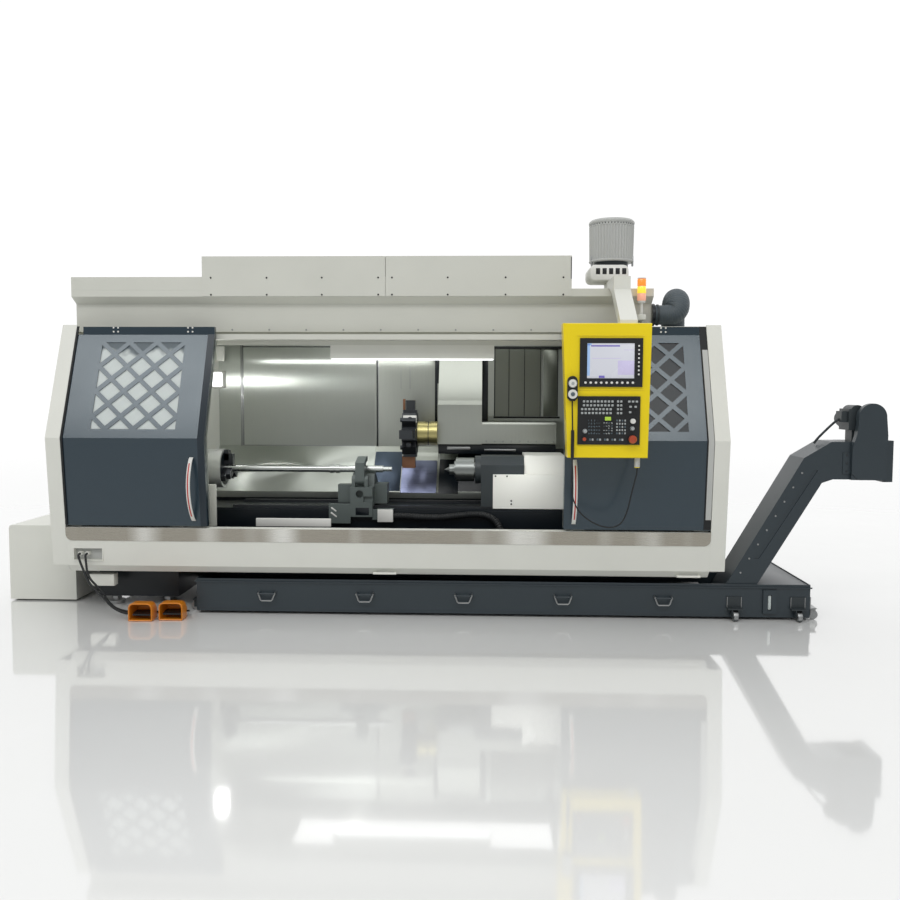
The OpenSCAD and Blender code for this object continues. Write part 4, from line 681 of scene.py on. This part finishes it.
plates("toolBlock", [((95, 799.5, 935), (92, 86, 3)), ((95, 863, 935), (92, 86, 3))], "brown", "turret", edge=1,
       corner=2)
plates("creamHolder", [((110, 740, 1244), (94, 54, 34))], "whitePlastic", "turret", edge=3, corner=4)
turned("holderBolts", [(0, 0), (18, 0), (18, 4), (12, 6), (12, 3), (0, 3)],
       [((112, 706, 1244), forward), ((106, 661, 1068), forward)], "darkSteel", "turret", 20)
plates("copperTip", [((62, 826, 1346), (17, 82, 26))], "brown", "turret", edge=3, corner=6)
turned("goldGroove", [(84, 0), (85.6, 1), (85.6, 4), (84, 5)], [((234, 830, 1141), rightward)], "darkSteel",
       "cross_slide", 48)
steadyStripes = [((-384, 429.6, 640), (44, 10, 1)), ((-384, 429.6, 604), (50, 11, 1))]
plates("steadyStripes", steadyStripes, "whitePlastic", "machine", edge=0.3, corner=4,
       axes=((0.8, 0, -0.6), (0.6, 0, 0.8), forward))
plates("steadyBox", [((-32, 419.8, 601), (105, 86, 3))], "whitePlastic", "machine", edge=1, corner=3)
# Painted shade: a dark sheet beside the steady rest.
plates("steadyPaintedShade", [((-190, 429.8, 628), (90, 50, 2))], "oilyBlackPaintedShade", "machine", edge=0.5, corner=2)
plates("apronPlate", [((155, 994, 812), (262, 310, 4))], "bluePlate", "carriage", edge=1, corner=8, axes=slope)
plates("apronLeft", [((-84, 1047, 847), (206, 380, 2))], "blueDark", "carriage", edge=0.5, corner=2, axes=slope)
# Painted shade: a dark sheet on the slope beside the apron, riding with the carriage.
plates("apronPaintedShade", [((366, 1016, 812), (158, 330, 2))], "oilyBlackPaintedShade", "carriage", edge=0.5, corner=2, axes=slope)
# Painted shade: a dark sheet over the guard's slope right of the carriage.
plates("slopePaintedShade", [((1270, 1070, 861), (1660, 420, 1.5))], "oilyBlackPaintedShade", "machine", edge=0.5, corner=2, axes=slope)
plates("underArm", [((726, 930, 1024), (850, 70, 30))], "oilyBlackPaintedShade", "carriage", edge=2, corner=4)
plates("underBar", [((750, 899.5, 1018), (230, 16, 6)), ((450, 899.5, 1030), (170, 22, 8))], "zinc", "carriage", edge=2,
       corner=4)
plates("troughBox", [((-621, 260, 575), (498, 54, 14))], "whitePlastic", "machine", edge=2, corner=4)
plates("wallCorner", [((-1362, 1160, 1721), (62, 112, 20))], "whitePaint", "machine", edge=2, corner=4)
plates("headstockPost", [((-1215, 430, 663), (58, 286, 16))], "whitePaint", "machine", edge=2, corner=4)
plates("coverEnd", [((1193.5, 344, 2246), (6, 142, 1))], "blackPlastic", "machine", edge=0.3, corner=1)
# Painted shade: a grey sheet that darkens the back of the recess.
plates("recessPaintedShade", [((-1916.2, 92, 387), (183, 74, 1))], "greyPaint", "machine", edge=0.3, corner=2)
plates("sightColumn", [((2442.5, 94, 114), (19, 90, 3))], "paneLit", "machine", edge=1, corner=6)
plates("sightRecess", [((2442.5, 93.6, 114), (23, 96, 0.8))], "oilyBlackPaintedShade", "machine", edge=0.2, corner=8)
plates("tankLid", [((2512, 517, 222), (352, 806, 3))], "tankPaint", "machine", edge=1, corner=3, axes=level)
plates("hoodEnd", [((-2117, 854, 1985), (747, 227, 2.4))], "whitePaint", "machine", edge=0.5, corner=1, axes=leftEnd)
plates("roofStrip", [((1925, 426.5, 1867), (386, 108, 2.4))], "whitePaint", "machine", edge=0.5, corner=1, axes=level)
plates("sillBox", [((-1867, 200, 201), (166, 78, 60))], "whitePaint", "machine", edge=3, corner=4)
print("stage: strips")


# Strips that follow the folded front: four corners at each height, set back from the front by the lean at that
# height.
def frontStrip(name, xs, ys, heights, material, body):
    points = []
    for z in heights:
        for x, y in ((xs[0], ys[0]), (xs[1], ys[0]), (xs[1], ys[1]), (xs[0], ys[1])):
            points.append(at(x, frontY(z) + y, z))
    piece(name, points, gridFaces(len(heights), 4), material, body)


frontStrip("guideStrip", (2018, 2052), (2, 8), (644, knee["z"], 1711), "greyPaint", "machine")
frontStrip("rightSeal", (2010, 2054.6), (9, 11.4), (580, knee["z"], 1862), "rubber", "machine")
frontStrip("leftSeal", (-2054.6, -2042), (3, 11.4), (580, knee["z"], 1862), "rubber", "machine")
frontStrip("doorReturn", (-1178, -1135.5), (10.6, 12.2), (577, knee["z"], 1830), "slateEdge", "left_door")

# Foot guards: rounded hoods. A ring runs over the top, down the side and under; rings go from the inner back to the
# front lip and over the outside to the back, where the roof is lower.
footFacts = {"left": (-1587, -130), "right": (-1405, -100), "width": 152, "height": 113, "wall": 8, "corner": 30,
             "drop": 34}
quarter = np.radians(np.linspace(90, 0, 6))


def hoodRing(middle, y, half, low, high, corner, foot=5):
    ring = []
    corners = ((1, high - corner, corner, 0), (1, low + foot, foot, -90),
               (-1, low + foot, foot, -180), (-1, high - corner, corner, -270))
    for sx, z0, r, first in corners:
        x0 = middle + sx * (half - r)
        for t in quarter + math.radians(first):
            ring.append(at(x0 + r * math.cos(t), y, z0 + r * math.sin(t)))
    return ring


points, faces = [], []
f = footFacts
for x0, y0 in (f["left"], f["right"]):
    middle, half, wall, start = x0 + f["width"] / 2, f["width"] / 2, f["wall"], len(points)
    rows = ((116, half - 10 - wall, wall, f["height"] - f["drop"] - wall, 20),
            (70, half - wall, wall, f["height"] - wall, 24),
            (4, half - wall, wall, f["height"] - wall, 24),
            (0, half - 3, 3, f["height"] - 3, 28),
            (4, half, 0.5, f["height"], f["corner"]),
            (74, half, 0.5, f["height"], f["corner"]),
            (124, half - 10, 0.5, f["height"] - f["drop"], 26))
    for dy, hw, low, high, corner in rows:
        points += hoodRing(middle, y0 + dy, hw, low, high, corner)
    faces += gridFaces(len(rows), 24, start)
piece("footGuards", points, faces, "orangePaint", "machine", instead=("pedal_guards",))

# Bow handles of the tank: a tube bent down and out, both ends at the tank's face.
tank = {"left": -1225, "right": 2698, "axle": 34}
bowFacts = {"first": tank["left"] + 463, "pitch": 634, "half": 54, "foot": 35, "top": 145, "low": 94, "out": 68,
            "radius": 5}
points, faces = [], []
f = bowFacts
for k in range(5):
    x = f["first"] + k * f["pitch"]
    side = [(f["half"], 99, f["top"]), (f["half"], f["out"] + 6, f["top"] - 3), (f["foot"] + 4, f["out"], f["low"] + 8),
            (f["foot"] - 4, f["out"], f["low"])]
    route = [(x - dx, y, z) for dx, y, z in side] + [(x + dx, y, z) for dx, y, z in side[::-1]]
    line = spots(route)
    start = len(points)
    points += tubePoints(line, f["radius"] / 1000, 10)
    faces += gridFaces(len(line), 10, start)
piece("tankBows", points, faces, "zinc", "machine")

# End caster beside the tank's front corner.
bracket = [((2721, 150, 72), (44, 92, 8)), ((2702, 150, 72), (7, 92, 78))]
bracket += [((2728, y, 24), (34, 6, 50)) for y in (130, 170)]
plates("endBracket", bracket, "zinc", "machine", edge=1, corner=2, axes=level)

# Caster wheels: bright rings round each wheel, with a thin frame line on each bracket.
tyre = [(16, -15), (29.4, -15), (30.3, -11), (30.3, 11), (29.4, 15), (16, 15)]
axleHigh, frontAxles = 30.4, (2222, 2620)
wheels = [((x, 66, axleHigh), rightward) for x in frontAxles]
wheels += [((tank["right"] + tank["axle"], y, axleHigh), backward) for y in (150, 300, 760)]
wheels += [((tank["left"] - tank["axle"], y, axleHigh), backward) for y in (200, 660)]
turned("casterWheels", tyre, wheels, "zinc", "machine", 28)
plates("casterFrames", [((x + dx, 93.5, 112), (5, 72, 3)) for x in frontAxles for dx in (-44, 44)], "zinc", "machine",
       edge=1, corner=2)
print("stage: guide and casters")

# Pale floor and soft studio light: bright behind and above, dimmer low in front, with lamps inside the work zone.
floorFacts = {"size": 80, "z": -0.0005}
bpy.ops.mesh.primitive_plane_add(size=floorFacts["size"], location=(0, 0, floorFacts["z"]))
floor = bpy.context.active_object
floor.name = "studioFloor"
floor.data.materials.append(paint("studioFloorPaint", "#EBECEB", 0.06, peel=0.0, tone=0.01, coat=0.8))
floor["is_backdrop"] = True
world = bpy.data.worlds.new("studio")
bpy.context.scene.world = world
world.use_nodes = True
sky = world.node_tree
skyFacts = {"front": 0.4, "above": 0.8, "behind": 1.05}
seen = add(sky, "ShaderNodeNewGeometry").outputs["Incoming"]
parts = add(sky, "ShaderNodeSeparateXYZ", {}, {0: seen})


def skyRamp(value, start, end, dim, bright):
    ramp = {"interpolation_type": "SMOOTHSTEP", "From Min": start, "From Max": end, "To Min": dim, "To Max": bright}
    return add(sky, "ShaderNodeMapRange", ramp, {"Value": value}).outputs[0]


aboveGlow = skyRamp(parts.outputs[2], -0.05, -0.75, skyFacts["front"], skyFacts["above"])
behindGlow = skyRamp(parts.outputs[1], 0.0, -0.35, 0.0, skyFacts["behind"])
glow = add(sky, "ShaderNodeMath", {"operation": "MAXIMUM"}, {0: aboveGlow, 1: behindGlow})
sky.nodes["Background"].inputs["Color"].default_value = (1, 1, 1, 1)
sky.links.new(glow.outputs[0], sky.nodes["Background"].inputs["Strength"])
lamps = {
    "keyLight": {"place": (-1600, -9340, 10340), "to": (-1000, 200, 1450), "size": (15.0, 2.6), "power": 530},
    "topLight": {"place": (300, -300, 5600), "to": (300, 200, 1000), "size": (5.0, 3.0), "power": 8},
    "hoodLight": {"place": (200, 880, 1850), "to": (200, 880, 900), "size": (0.36, 1.9), "power": 3.4},
    "zoneLight": {"place": (-350, 545, 1640), "to": (-350, 900, 900), "size": (2.0, 0.1), "power": 1.1},
    "wallLight": {"place": (-1243, 640, 1520), "to": (-1100, 200, 1480), "size": (0.08, 0.1), "power": 1.0},
    "wallGlow": {"place": (-1243, 725, 1520), "to": (-1000, 1229, 1515), "size": (0.1, 0.05), "power": 1.3},
    "tailLight": {"place": (860, 120, 1250), "to": (900, 486, 850), "size": (0.3, 0.1), "power": 0.3, "spread": 70},
    "sheetGlow": {"place": (-420, 1110, 1668), "to": (-420, 1225, 1655), "size": (1.3, 0.02), "power": 0.35},
}
for name, s in lamps.items():
    light = bpy.data.lights.new(name, "AREA")
    light.shape = "RECTANGLE"
    light.size, light.size_y = s["size"]
    light.energy = s["power"]
    light.spread = math.radians(s.get("spread", 180))
    made = bpy.data.objects.new(name, light)
    bpy.context.scene.collection.objects.link(made)
    a, u, v = across(at(*s["place"]) - at(*s["to"]))
    p = at(*s["place"])
    made.matrix_world = Matrix([[u[i], v[i], a[i], p[i]] for i in range(3)] + [[0, 0, 0, 1]])
bpy.context.scene.view_settings.view_transform = "Standard"
print("stage: light")

low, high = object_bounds()
